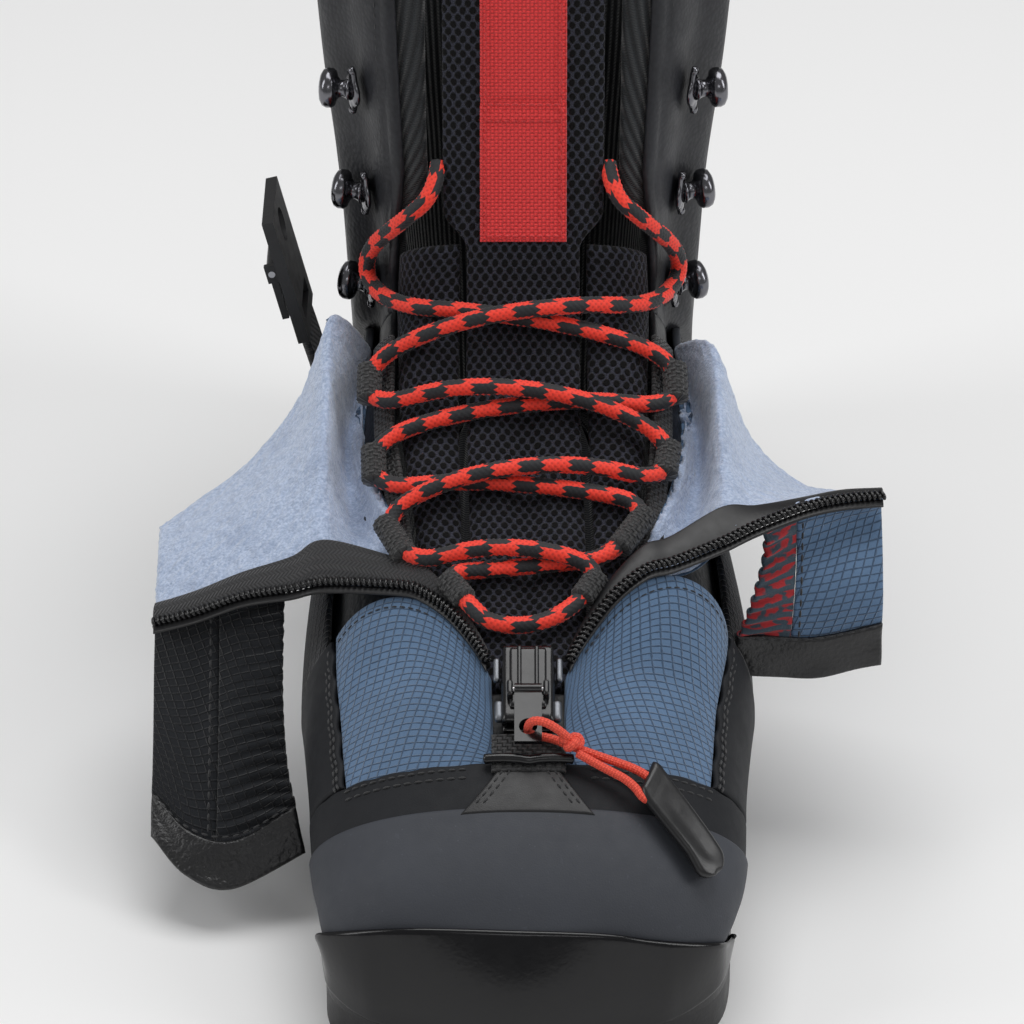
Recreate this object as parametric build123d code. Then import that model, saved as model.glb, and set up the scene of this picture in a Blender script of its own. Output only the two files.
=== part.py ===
from build123d import *
import math
import os

# Cross country touring boot, left foot, EU 42, with its zipped gaiter folded open.
# Millimetres. +Z up, toe towards -Y, the big toe side at -X. The origin is on the sole's walking face.

# ---- driving dimensions ----
SOLE_TOP = 20.0            # top of the midsole, where the upper starts
TREAD_TOP = 9.0            # top of the outsole
OVERLAY = (0.0, 2.2)       # depth below the boot's form of the outermost layer
LEATHER = (2.6, 4.6)       # depth of the quarters and the cuff
LINING = (5.0, 8.0)        # depth of the lining and the collar
HEEL_GUARD = (-1.0, 1.3)   # depth of the heel overlays
TOE_GUARD = (-3.0, -0.9)   # depth of the toe cap, outside the form
SEAM = 0.012               # gap between neighbouring panels, in stations
LACE_D = 4.4
CORD_D = 2.2
GROOVE_X = 13.0            # distance of each sole guide groove from the middle
WIDEST = 0.43              # height of the widest place, as a fraction of the section
TIP_FADE = 1.5             # stations over which an inset turns from backwards to inwards

# Cross-sections of the boot's form, fanned from the toe tip to the cuff's top:
# bottom y, bottom z, top y, top z, half width, middle x
STATIONS = (
    (-149.0, 29.0, -149.0, 29.0, 0.0, -2.0),
    (-141.0, 12.0, -138.0, 45.0, 40.0, -1.0),
    (-120.0, 8.0, -118.0, 57.0, 51.0, 1.0),
    (-85.0, 8.0, -78.0, 73.5, 54.0, 1.0),
    (-45.0, 9.0, -42.0, 88.0, 53.0, 1.0),
    (5.0, 10.0, -12.0, 104.6, 49.0, 0.0),
    (70.0, 10.0, 2.0, 115.5, 44.0, 0.0),
    (132.0, 14.0, 12.0, 124.5, 41.0, 0.0),
    (148.0, 52.0, 17.0, 137.0, 42.0, 0.0),
    (144.0, 104.0, 22.0, 151.0, 44.0, 0.0),
    (137.0, 152.0, 29.0, 175.0, 48.0, 0.0),
    (134.0, 202.0, 36.0, 205.0, 51.0, 0.0),
    (133.0, 214.0, 38.0, 217.0, 52.0, 0.0),
)
ANKLE = 7.0                # station where the quarters end and the cuff starts
TONGUE_FOLD = 8.0
CUFF_TOP = 11.0
COLLAR_TOP = 11.15
TONGUE_TOP = 11.7
THROAT = ((2.8, 12), (3.3, 20), (4, 29), (5, 33), (7, 34), (8, 33), (9, 31), (10, 32), (11.7, 34))
COLLAR_EDGE = ((7.25, 33), (8.2, 32), (9, 25), (12, 25))

# Lace loops: distance from the middle on the left and on the right, and station, at the top, then at
# the bottom. Hooks: half spacing, station.
LOOPS = (
    ((39.0, 38.4, 5.95), (39.0, 38.8, 5.15)),
    ((38.0, 37.0, 4.80), (38.0, 34.4, 4.38)),
    ((37.0, 31.4, 4.18), (29.0, 20.6, 3.67)),
    ((21.2, 18.2, 3.55), (14.2, 12.0, 3.27)),
)
HOOKS = ((38.6, 7.55), (39.8, 8.72), (42.6, 9.77))
HOOK_LACE = 2.0            # height of the lace's middle above the form, at a hook
EYELET_LACE = 2.9          # the same in the lace loops
LACE_LOW = 1.4             # the same over the tongue
LACE_HIGH = 6.5            # and for the strand that crosses over it

# Gaiter flaps: x, then the profile (y, z) from the back, over the top, to the zip edge.
LEFT_FLAP = (
    (-49.3, (20, 113), (-15, 97), (-50, 77)), (-58, (8, 95), (-22, 88), (-50, 75)),
    (-70, (-2, 83), (-25, 79), (-47, 71)), (-82, (-6, 75), (-26, 72), (-45, 65)),
    (-93, (-12, 69), (-26, 66), (-42, 60)),
)
RIGHT_FLAP = (
    (49.3, (14, 107), (-16, 98), (-48, 84)), (58, (5, 87), (-20, 89), (-43, 86)),
    (70, (-2, 77), (-20, 83), (-38, 88)), (80, (-6, 76), (-20, 84), (-34, 89)),
    (90, (-8, 77), (-20, 84), (-30, 90)),
)
# The shell that hangs from each flap's zip edge: x, then the profile (y, z) downwards.
LEFT_SHELL = (
    (-60, (-49, 69), (-62, 50), (-74, 33), (-82, 22)), (-72, (-47, 65), (-62, 47), (-75, 31), (-84, 20)),
    (-84, (-45, 59), (-60, 42), (-73, 28), (-82, 20)), (-93, (-42, 54), (-56, 40), (-69, 28), (-78, 21)),
)
RIGHT_SHELL = (
    (60, (-45, 80), (-50, 72), (-51, 64), (-51, 58)), (72, (-40, 82), (-47, 74), (-50, 66), (-50, 58)),
    (90, (-32, 84), (-42, 75), (-47, 67), (-47, 59)),
)

parts = {}


# ---- the form ----
def station(s):
    """Cubic blend of the stations at s."""
    last = len(STATIONS) - 1
    k = max(0, min(int(s), last - 1))
    t = s - k
    before = STATIONS[max(k - 1, 0)]
    after = STATIONS[min(k + 2, last)]
    values = []
    for p0, p1, p2, p3 in zip(before, STATIONS[k], STATIONS[k + 1], after):
        slope = t * (p2 - p0 + t * (2 * p0 - 5 * p1 + 4 * p2 - p3 + t * (3 * (p1 - p2) + p3 - p0)))
        values.append(p1 + 0.5 * slope)
    return values


def squareness(s):
    """0 at the rounded toe box, 1 from the ankle up, where the front is flat between two corners."""
    return min(max((s - 3.0) / 3.0, 0.0), 1.0)


def outline_point(s, turn, depth):
    """Half-section point: turn is 0 at the bottom and pi on the ridge. Gives x from the middle, y, z."""
    by, bz, ty, tz, half, middle = station(s)
    height = math.hypot(ty - by, tz - bz)
    fade = min(1.0, s / TIP_FADE)
    inset = depth * fade
    back = depth * (1 - fade)
    if height < 0.001:
        return 0.0, by + back, bz, middle
    level, power = math.cos(turn), 0.8
    if level > 0:
        rise = WIDEST * (1 - level)
    else:
        rise = WIDEST + (1 - WIDEST) * (-level) ** (1.0 - 0.5 * squareness(s))
        power = 0.8 - 0.3 * squareness(s)
    below = inset * min(max((s - 5.5) / 1.2, 0.0), 1.0)
    along = below + (height - inset - below) * rise
    across = max(half - inset, 0.0) * max(math.sin(turn), 0.0) ** power
    return across, by + (ty - by) / height * along + back, bz + (tz - bz) / height * along, middle


def sole_turn(s, depth):
    """The turn where the section meets the top of the midsole, or 0 where it is all above it."""
    if outline_point(s, 0.0, depth)[2] >= SOLE_TOP:
        return 0.0
    low, high = 0.0, 0.75 * math.pi
    for _ in range(40):
        middle = (low + high) / 2
        if outline_point(s, middle, depth)[2] < SOLE_TOP:
            low = middle
        else:
            high = middle
    return high


def form(s, girth, depth):
    """Girth is 0 on the ridge and -1 or 1 at the sole or the back of the heel, where it wraps round."""
    if abs(girth) > 1:
        girth -= math.copysign(2, girth)
    turn = math.pi - abs(girth) * (math.pi - sole_turn(s, depth))
    across, y, z, middle = outline_point(s, turn, depth)
    return middle + math.copysign(across, girth), y, z


def girth_at(s, x, depth):
    """The girth where the form is x from its middle, on the ridge's side."""
    half = station(s)[4] - depth
    angle = math.asin(min(abs(x) / half, 1.0) ** (1 / (0.8 - 0.3 * squareness(s))))
    return math.copysign(angle / (math.pi - sole_turn(s, depth)), x)


def over(x, s, lift):
    """The point x from the middle at station s, lifted off the form."""
    return form(s, girth_at(s, x, -lift), -lift)


# ---- solids from grids ----
def grid_solid(outer, inner):
    """Closed solid between two grids of points, in flat triangles."""
    rows, columns = len(outer), len(outer[0])
    faces = []

    def triangle(a, b, c):
        corners = [Vector(*p) for p in (a, b, c)]
        if (corners[1] - corners[0]).cross(corners[2] - corners[0]).length > 1e-5:
            faces.append(Face(Wire.make_polygon(corners, close=True)))

    def quad(a, b, c, d):
        triangle(a, b, c)
        triangle(a, c, d)

    for i in range(rows - 1):
        for j in range(columns - 1):
            quad(outer[i][j], outer[i][j + 1], outer[i + 1][j + 1], outer[i + 1][j])
            quad(inner[i][j], inner[i + 1][j], inner[i + 1][j + 1], inner[i][j + 1])
    for i in range(rows - 1):
        quad(outer[i][0], outer[i + 1][0], inner[i + 1][0], inner[i][0])
        quad(inner[i][-1], inner[i + 1][-1], outer[i + 1][-1], outer[i][-1])
    for j in range(columns - 1):
        quad(inner[0][j], inner[0][j + 1], outer[0][j + 1], outer[0][j])
        quad(outer[-1][j], outer[-1][j + 1], inner[-1][j + 1], inner[-1][j])
    return Solid(Shell(faces))


def patch(place, depths, rows, columns):
    """Piece of a layer of the form. place(u, v, depth) gives its station, girth and extra lift."""
    grids = []
    for depth in depths:
        grid = []
        for i in range(rows + 1):
            line = []
            for j in range(columns + 1):
                s, girth, rise = place(i / rows, j / columns, depth)
                line.append(form(s, girth, depth - rise))
            grid.append(line)
        grids.append(grid)
    return grid_solid(*grids)


def between(table, s):
    """Straight-line lookup in a table of pairs."""
    for (s0, x0), (s1, x1) in zip(table, table[1:]):
        if s <= s1:
            return x0 + (x1 - x0) * (s - s0) / (s1 - s0)
    return table[-1][1]


def strip(s0, s1, edge_a, edge_b, depths, rows, columns):
    """Panel between two stations, and between two edges that give girth for s and depth."""
    def place(u, v, depth):
        s = s0 + (s1 - s0) * u
        a, b = edge_a(s, depth), edge_b(s, depth)
        return s, a + (b - a) * v, 0.0
    return patch(place, depths, rows, columns)


def slanted(front, back, girth_a, girth_b, depths, rows, columns, rise=lambda s: 0.0):
    """Panel between two fixed girths, whose front and back edges give s for girth."""
    def place(u, v, depth):
        g = girth_a + (girth_b - girth_a) * v
        s = front(g) + (back(g) - front(g)) * u
        return s, g, rise(s)
    return patch(place, depths, rows, columns)


def at_x(width, side, clearance=0.0):
    """Edge at a half width, which is one number or a table by station."""
    def edge(s, depth):
        x = between(width, s) if isinstance(width, tuple) else width
        return girth_at(s, side * (x + clearance), depth)
    return edge


def at_girth(girth):
    return lambda s, depth: girth


def surface_plane(x, s, lift):
    """Plane on the form: x along the boot upwards, z outwards."""
    here = Vector(*over(x, s, lift))
    up = (Vector(*over(x, s + 0.05, lift)) - here).normalized()
    sideways = (Vector(*over(x + 0.4, s, lift)) - here).normalized()
    return Plane(origin=here, x_dir=up, z_dir=sideways.cross(up).normalized())


def draped(sections, thickness, drop=0.0):
    """Cloth sheet across profiles at several x, thickened on its underside."""
    grids = []
    for offset in (drop, drop + thickness):
        grid = []
        for x, *profile in sections:
            line = []
            for k, (y, z) in enumerate(profile):
                y0, z0 = profile[max(k - 1, 0)]
                y1, z1 = profile[min(k + 1, len(profile) - 1)]
                length = math.hypot(y1 - y0, z1 - z0)
                line.append((x, y - (z1 - z0) / length * offset, z + (y1 - y0) / length * offset))
            grid.append(line)
        grids.append(grid)
    return grid_solid(*grids)


def add(name, *shapes):
    """Adds a node: one solid, or a group of like pieces."""
    parts[name] = shapes[0] if len(shapes) == 1 else Compound(children=list(shapes))


def add_pair(name, make):
    """Adds a left and a right piece as one node."""
    add(name, make(-1), make(1))


SIDES = (("left", -1), ("right", 1))


# ---- sole ----
SOLE_STOPS = (0.8, 1.0, 1.4, 2.0, 2.6, 3.2, 4.0, 4.8, 5.5, 6.2, 6.7, 6.95, 7.08)


def sole_outline(depth, toe_depth, stops, heel_y):
    """Outline of the form at the top of the midsole."""
    sides = []
    for side in (-1, 1):
        sides.append([form(s, side, toe_depth if s < 3 else depth)[:2] for s in stops])
    toe = (station(0)[5], STATIONS[0][0] + 3.0 + toe_depth)
    return make_face(Spline(toe, *sides[1], (0, heel_y), *sides[0][::-1], periodic=True))


def make_sole():
    full = sole_outline(-1.0, -3.0, SOLE_STOPS, form(7.2, 1, -1.0)[1] + 3)
    outsole = extrude(full, TREAD_TOP)
    for side in (-1, 1):
        outsole -= Pos(side * GROOVE_X, 0, 0) * Box(8, 320, 10)
    for k in range(12):
        for side in (-1, 1):
            outsole -= Pos(side * 36, -112 + 21 * k, 0) * Rot(0, 0, side * 20) * Box(26, 5, 7)
    outsole -= Pos(0, -138, 2) * Box(30, 14, 12)
    pin = Pos(0, -138, 4.5) * Rot(0, 90, 0) * Cylinder(2.0, 50)
    add("outsole", outsole - pin)
    add("toe_bar", pin)
    add("midsole", Pos(0, 0, TREAD_TOP) * extrude(full, SOLE_TOP - TREAD_TOP))
    board = sole_outline(9.4, 9.4, SOLE_STOPS[1:10], 119)
    add("insole_board", Pos(0, 0, SOLE_TOP + 0.1) * extrude(board, 2.0))
    add("footbed", Pos(0, 0, SOLE_TOP + 2.2) * extrude(board, 4.0))


# ---- outer layer ----
def rand_edge(g):
    return 1.9 + 0.75 * g * g


def frame_edge(g):
    return 2.27 + 0.7 * g * g


def zip_edge(g):
    """Station of the gaiter's open edge for a girth."""
    return 3.66 - 0.92 * math.exp(-(abs(g) - 0.04) / 0.09)


def zip_rise(s):
    """The gaiter's edge stands off the laces towards its top."""
    t = min(max((s - 2.95) / 0.6, 0.0), 1.0)
    return 9.0 * t * t * (3 - 2 * t)


def cap_edge(g):
    """Upper edge of the toe cap, which runs back along the sole on both sides."""
    return 0.35 + 1.8 * abs(g) ** 1.67


def make_vamp():
    add("toe_rand", slanted(lambda g: 0.0, rand_edge, -0.97, 0.97, OVERLAY, 12, 20))
    add("toe_cap", slanted(lambda g: 0.0, cap_edge, -0.975, 0.975, TOE_GUARD, 8, 24))
    add("vamp_front", slanted(lambda g: rand_edge(g) + SEAM, frame_edge, -1, 1, OVERLAY, 3, 20))
    for name, side in SIDES:
        add("softshell_panel_" + name,
            slanted(lambda g: frame_edge(g) + SEAM, lambda g: zip_edge(g) - SEAM,
                    side * 0.05, side * 0.45, OVERLAY, 10, 12, zip_rise))
    add_pair("vamp_overlays", lambda side: slanted(
        lambda g: frame_edge(g) + SEAM, lambda g: 3.6, side * 0.46, side, OVERLAY, 8, 8))
    add_pair("gaiter_sides", lambda side: strip(
        3.62, 6.48, at_girth(side * 0.5), at_girth(side), OVERLAY, 14, 8))
    add_pair("heel_overlays", lambda side: strip(
        6.5, 8.0, at_girth(side * 0.5), at_girth(side * 0.99), HEEL_GUARD, 12, 10))
    add_pair("zip_tapes", lambda side: slanted(
        lambda g: zip_edge(g) + SEAM, lambda g: zip_edge(g) + 0.09,
        side * 0.10, side * 0.345, (-0.4, 1.2), 1, 14, zip_rise))
    add("gaiter_heel", strip(8.02, 9.0, at_girth(0.5), at_girth(1.5), OVERLAY, 6, 20))
    add("toe_patch", strip(1.86, 2.14, lambda s, d: girth_at(s, -16 + 28 * (s - 1.86), d),
                           lambda s, d: girth_at(s, 16 - 28 * (s - 1.86), d), (-0.9, -0.1), 2, 6))
    add("anchor_tab", strip(2.17, 2.4, at_x(9.0, -1), at_x(9.0, 1), (-1.6, -0.1), 2, 4))
    x, y, z = over(0.01, 2.2, 3.0)
    add("anchor_bar", Pos(x, y, z) * Rot(0, 90, 0) * Cylinder(1.2, 20))


# ---- boot inside the gaiter ----
def make_boot():
    add("inner_vamp", strip(1.05, 2.78, at_girth(-1), at_girth(1), LEATHER, 8, 16))
    add("toe_lining", strip(1.1, 2.78, at_girth(-1), at_girth(1), LINING, 8, 16))
    for name, side in SIDES:
        throat = at_x(THROAT, side)
        add("quarter_" + name, strip(2.8, ANKLE - SEAM, throat, at_girth(side), LEATHER, 20, 14))
        add("cuff_" + name, strip(ANKLE, CUFF_TOP, throat, at_girth(side * 0.992), LEATHER, 18, 16))
        add("lining_" + name, strip(2.8, ANKLE - SEAM, throat, at_girth(side), LINING, 20, 14))
        add("eyestay_" + name, strip(3.75, 6.4, throat, at_x(THROAT, side, 4.5), (0.5, 1.9), 14, 3))
    add_pair("tongue_pads", lambda side: strip(
        3.35, TONGUE_FOLD - SEAM, at_x(15.8, side), at_x(THROAT, side, -0.9), (3.0, 8.4), 18, 4))

    def collar_edge(s, depth):
        return girth_at(s, between(COLLAR_EDGE, s), depth)

    def centre_edge(side):
        return lambda s, depth: girth_at(s, side * min(15.0, between(THROAT, s) - 1), depth)

    add("collar", strip(7.27, COLLAR_TOP, collar_edge, lambda s, d: 2 - collar_edge(s, d), LINING, 14, 24))
    add("tongue_centre", strip(2.8, TONGUE_FOLD - SEAM, centre_edge(-1), centre_edge(1), (3.0, 8.4), 20, 6))
    add("tongue_top", strip(TONGUE_FOLD + 0.02, TONGUE_TOP, at_x(18.0, -1), at_x(18.0, 1), (3.0, 8.4), 14, 6))
    add("tongue_webbing", strip(TONGUE_FOLD + 0.06, 11.6, at_x(11.0, -1), at_x(11.0, 1), (1.3, 2.9), 12, 3))
    loop = Box(18, 9, 35) - Box(19, 5.8, 31.8)
    add("heel_pull_loop", Pos(0, 138.8, 180) * loop)


# ---- lace, its loops and hooks ----
def loop_end(end, side):
    """Distance from the middle and station of one end of a lace loop."""
    return end[0 if side < 0 else 1], end[2]


def lace_half(side, height):
    """Route of one end: from where it is tucked in, round the lowest hook and down to the last loop."""
    points = [over(side * 21.5, 9.15, -5.0), over(side * 22.5, 8.78, 0.5), over(side * 30.0, 8.35, 2.2)]
    x, s = HOOKS[0]
    hook = surface_plane(side * x, s, HOOK_LACE)
    for up in (4.8, -4.8):
        points.append(tuple(hook.from_local_coords(Vector(up, -side * 5.0, 0))))
    x0, s0 = 32.0, 6.8
    points.append(over(side * x0, s0, LACE_LOW + 0.6))
    for top, bottom in LOOPS:
        points.append(over(side * 0.4 * x0, s0 + (top[2] - s0) * 0.3, height))
        side = -side
        x1, s1 = loop_end(top, side)
        points.append(over(side * 0.4 * x1, s0 + (s1 - s0) * 0.7, height))
        points.append(over(side * x1, s1, EYELET_LACE))
        x0, s0 = loop_end(bottom, side)
        points.append(over(side * x0, s0, EYELET_LACE))
    return points


def lace_route():
    bar = [over(-9.0, 3.14, LACE_LOW + 0.5), over(2.5, 3.13, LACE_LOW + 0.5)]
    return lace_half(-1, LACE_LOW) + bar + lace_half(1, LACE_HIGH)[::-1]


def tube(points, diameter, largest):
    """Round tube along straight runs and tangent arcs. Prints the arcs' radii and checks the volume."""
    route = [Vector(*p) for p in points]
    runs = [(b - a).length for a, b in zip(route, route[1:])]
    radii = []
    for k in range(1, len(route) - 1):
        turn = math.radians((route[k] - route[k - 1]).get_angle(route[k + 1] - route[k]))
        radii.append(min(0.45 * min(runs[k - 1], runs[k]) / math.tan(max(turn, 0.02) / 2), largest))
    path = FilletPolyline(*route, radius=radii)
    solid = sweep(Plane(origin=path @ 0, z_dir=path % 0) * Circle(diameter / 2), path=path)
    section = math.pi * diameter ** 2 / 4
    print("tube radii", [round(r, 1) for r in radii])
    print("tube volume", round(solid.volume), "section times length", round(section * path.length),
          "length", round(path.length))
    return solid


def make_lacing():
    loops, hooks, rivets = [], [], []
    for _, side in SIDES:
        for ends in LOOPS:
            a, b = (Vector(*over(side * x, s, EYELET_LACE)) for x, s in (loop_end(end, side) for end in ends))
            middle = Plane(origin=(a + b) / 2, z_dir=b - a)
            loops.append(middle * (Cylinder(3.3, 2.6) - Cylinder(LACE_D / 2 + 0.15, 4)))
        for x, s in HOOKS:
            base = surface_plane(side * x, s, -2.4)
            rivets.append(base * Pos(0, 0, 0.45) * Cylinder(3.4, 0.9))
            hook = Pos(0, 0, 1.5) * Cylinder(4.2, 1.0) + Pos(0, 0, 1.5) * Box(15, 3, 1.0)
            hook += Pos(0, 0, 4.5) * Cylinder(1.8, 5.2) + Pos(0, 0, 8.1) * Cylinder(4.2, 2.2)
            hooks.append(base * hook)
    add("lace_loops", *loops)
    add("lace_hooks", *hooks)
    add("hook_rivets", *rivets)
    add("lace", tube(lace_route(), LACE_D, 40))


# ---- zip slider and its pull ----
SLIDER = Plane(origin=(1, -91, 70.5), x_dir=(1, 0, 0), z_dir=(0, -0.424, 0.905))
TAB_PIN = (-3.0, 4.9)      # the tab's pin, along and above the slider's middle
CORD_ROUTE = (
    (11.8, -109.2, 67.2), (7.2, -109.3, 72.4), (1.6, -107.9, 73.2), (0.4, -103.9, 66.0),
    (6.4, -105.0, 65.8), (11.0, -108.2, 65.6), (18.6, -109.6, 63.4), (25.0, -111.0, 61.6),
    (31.6, -115.4, 58.6), (28.0, -120.4, 57.8), (19.4, -115.2, 61.8), (12.8, -110.8, 65.2),
)


def make_zip_pull():
    along, high = TAB_PIN
    body = Pos(0, 0, 2.4) * Box(13, 22, 1.6) + Pos(0, 0, -2.4) * Box(13, 22, 1.6)
    body += Pos(0, 7, 0) * Box(2.4, 5, 4.0)
    for side in (-1, 1):
        body += Pos(side * 4.4, along, 4.4) * Box(1.4, 4, 3.4)
    pin = Pos(0, along, high) * Rot(0, 90, 0) * Cylinder(0.7, 10.2)
    add("slider_body", SLIDER * (body - pin))
    add("pull_pin", SLIDER * pin)
    tab = Pos(0, along - 7.0, high) * Box(6.6, 16, 1.4) - Pos(0, along - 10.8, high) * Cylinder(2.2, 4)
    tab -= Pos(0, along, high) * Rot(0, 90, 0) * Cylinder(0.75, 9)
    tab = tab + Pos(0, along, high) * Rot(0, 90, 0) * (Cylinder(1.5, 6.6) - Cylinder(0.75, 9))
    add("pull_tab", SLIDER * tab)
    add("pull_cord", tube(CORD_ROUTE, CORD_D, 12))
    add("pull_knot", Pos(11.4, -109.0, 67.2) * Sphere(3.0))

    def grip(u, v, depth):
        across = (v - 0.5) * 8.4
        s = 2.10 - 0.60 * u + across * 0.042
        return s, girth_at(s, 27.0 + 17.0 * u + across * 0.53, depth), 0.0

    add("pull_grip", patch(grip, (-6.4, -3.4), 8, 3))


# ---- gaiter flaps ----
def root_band(side, flap):
    """Fleece band that stands between the eyestay and the flap."""
    (x0, (y0, z0), _, (y1, z1)) = flap[0]
    edge = side * (abs(x0) - 3.0)
    grids = []
    for thickness in (0.0, 2.0):
        grid = []
        for k in range(9):
            t = k / 8
            low = form(3.72 + 2.9 * t, side * 0.46, -0.5 - thickness)
            top = (edge + side * thickness, y1 + (y0 - y1) * t, z1 + (z0 - z1) * t - 2.2)
            grid.append([low, top])
        grids.append(grid)
    return grid_solid(*grids)


def band_below(shell, length):
    """Collar band sections that carry on from the lower edge of a hanging shell."""
    sections = []
    for x, *profile in shell:
        (y0, z0), (y1, z1) = profile[-2:]
        run = math.hypot(y1 - y0, z1 - z0)
        step_y, step_z = (y1 - y0) / run, (z1 - z0) / run
        sections.append((x, (y1 + step_y * 0.3, z1 + step_z * 0.3),
                         (y1 + step_y * length, z1 + step_z * length)))
    return tuple(sections)


def make_gaiter():
    for (name, side), flap, shell in zip(SIDES, (LEFT_FLAP, RIGHT_FLAP), (LEFT_SHELL, RIGHT_SHELL)):
        add("gaiter_root_" + name, root_band(side, flap))
        add("flap_fleece_" + name, draped(flap, 3.2))
        add("flap_shell_" + name, draped(shell, 2.4, 0.4))
        add("collar_band_" + name, draped(band_below(shell, 11.0), 2.4, 0.4))
        chain = [(x, profile[-1][0] - 1.9, profile[-1][1]) for x, *profile in flap]
        chain[0] = (chain[0][0] + side * 1.5, *chain[0][1:])
        grids = []
        for low in (0.0, -2.4):
            grids.append([[(x, y, z + low), (x, y - 2.6, z + low)] for x, y, z in chain])
        add("flap_zip_chain_" + name, grid_solid(*grids))


# ---- ankle strap ----
STRAP = Pos(-48.6, 46, 64) * Rot(0, -14, 0)


def make_strap():
    rivet_hole = Rot(0, 90, 0) * Cylinder(2.55, 8)
    add("strap_rivet", STRAP * (Rot(0, 90, 0) * Cylinder(2.5, 3.4)
                                + Pos(-2.2, 0, 0) * Rot(0, 90, 0) * Cylinder(4.2, 1.0)))
    add("strap_webbing", STRAP * (Pos(0, 0, 13.75) * Box(2.4, 20, 41.5) - rivet_hole))
    frame = Pos(0, 0, 52.5) * Box(3, 26, 36) - Pos(0, 0, 40.5) * Box(4, 16, 4.5)
    frame -= Pos(0, 0, 63) * Rot(0, 90, 0) * Cylinder(4.5, 4)
    pin = Pos(-3.5, 0, 54) * Rot(90, 0, 0) * Cylinder(0.9, 18.6)
    for side in (-1, 1):
        frame += Pos(-3.25, side * 8.5, 54) * Box(3.5, 1.6, 5)
    add("buckle_frame", STRAP * (frame - pin))
    add("buckle_pin", STRAP * pin)
    bore = Pos(-3.5, 0, 54) * Rot(90, 0, 0) * Cylinder(0.95, 18)
    lever = Pos(-3.5, 0, 54) * Rot(90, 0, 0) * Cylinder(1.6, 14.6) + Pos(-3.7, 0, 46.5) * Box(1.8, 14.6, 14)
    add("buckle_lever", STRAP * (lever - bore))


if __name__ == "__main__":
    os.makedirs("parts", exist_ok=True)
    make_sole()
    make_vamp()
    make_boot()
    make_lacing()
    make_zip_pull()
    make_gaiter()
    make_strap()
    for name, shape in parts.items():
        shape.label = name
        export_step(shape, os.path.join("parts", name + ".step"))
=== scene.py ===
import math

import bpy
import numpy as np
from mathutils import Matrix


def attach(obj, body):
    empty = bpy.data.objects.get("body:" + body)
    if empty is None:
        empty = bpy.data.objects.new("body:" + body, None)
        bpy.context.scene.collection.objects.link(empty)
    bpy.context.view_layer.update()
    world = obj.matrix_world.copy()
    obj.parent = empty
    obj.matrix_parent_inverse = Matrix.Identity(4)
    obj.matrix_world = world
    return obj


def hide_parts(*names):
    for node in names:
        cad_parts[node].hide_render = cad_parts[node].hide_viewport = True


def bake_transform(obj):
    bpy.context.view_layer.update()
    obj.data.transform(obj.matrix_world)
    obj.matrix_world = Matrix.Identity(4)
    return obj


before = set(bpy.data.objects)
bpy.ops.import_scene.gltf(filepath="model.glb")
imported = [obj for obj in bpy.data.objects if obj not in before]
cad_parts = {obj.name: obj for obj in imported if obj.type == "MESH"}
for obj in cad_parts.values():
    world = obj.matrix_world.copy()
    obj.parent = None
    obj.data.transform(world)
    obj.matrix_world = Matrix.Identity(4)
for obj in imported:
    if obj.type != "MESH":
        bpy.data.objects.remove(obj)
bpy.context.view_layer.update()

# Lengths here are millimetres, in the frame's axes, and become metres as each mesh is made.
MM = 0.001

# ---- the form, as in the CAD ----
SOLE_TOP = 20.0
LEATHER = 2.6
LINING = 5.0
TONGUE = 3.0
SEAM = 0.012
LACE_D = 4.4
CORD_D = 2.2
WIDEST = 0.43
TIP_FADE = 1.5
STATIONS = np.array((
    (-149.0, 29.0, -149.0, 29.0, 0.0, -2.0),
    (-141.0, 12.0, -138.0, 45.0, 40.0, -1.0),
    (-120.0, 8.0, -118.0, 57.0, 51.0, 1.0),
    (-85.0, 8.0, -78.0, 73.5, 54.0, 1.0),
    (-45.0, 9.0, -42.0, 88.0, 53.0, 1.0),
    (5.0, 10.0, -12.0, 104.6, 49.0, 0.0),
    (70.0, 10.0, 2.0, 115.5, 44.0, 0.0),
    (132.0, 14.0, 12.0, 124.5, 41.0, 0.0),
    (148.0, 52.0, 17.0, 137.0, 42.0, 0.0),
    (144.0, 104.0, 22.0, 151.0, 44.0, 0.0),
    (137.0, 152.0, 29.0, 175.0, 48.0, 0.0),
    (134.0, 202.0, 36.0, 205.0, 51.0, 0.0),
    (133.0, 214.0, 38.0, 217.0, 52.0, 0.0),
))
ANKLE = 7.0
TONGUE_FOLD = 8.0
CUFF_TOP = 11.0
COLLAR_TOP = 11.15
TONGUE_TOP = 11.7
THROAT = ((2.8, 12), (3.3, 20), (4, 29), (5, 33), (7, 34), (8, 33), (9, 31), (10, 32), (11.7, 34))
COLLAR_EDGE = ((7.25, 33), (8.2, 32), (9, 25), (12, 25))
LOOPS = (
    ((39.0, 38.4, 5.95), (39.0, 38.8, 5.15)),
    ((38.0, 37.0, 4.80), (38.0, 34.4, 4.38)),
    ((37.0, 31.4, 4.18), (29.0, 20.6, 3.67)),
    ((21.2, 18.2, 3.55), (14.2, 12.0, 3.27)),
)
HOOKS = ((38.6, 7.55), (39.8, 8.72), (42.6, 9.77))
HOOK_LACE = 2.0
EYELET_LACE = 2.9
LACE_LOW = 1.4
LACE_HIGH = 6.5
SIDES = (("left", -1), ("right", 1))


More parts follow.
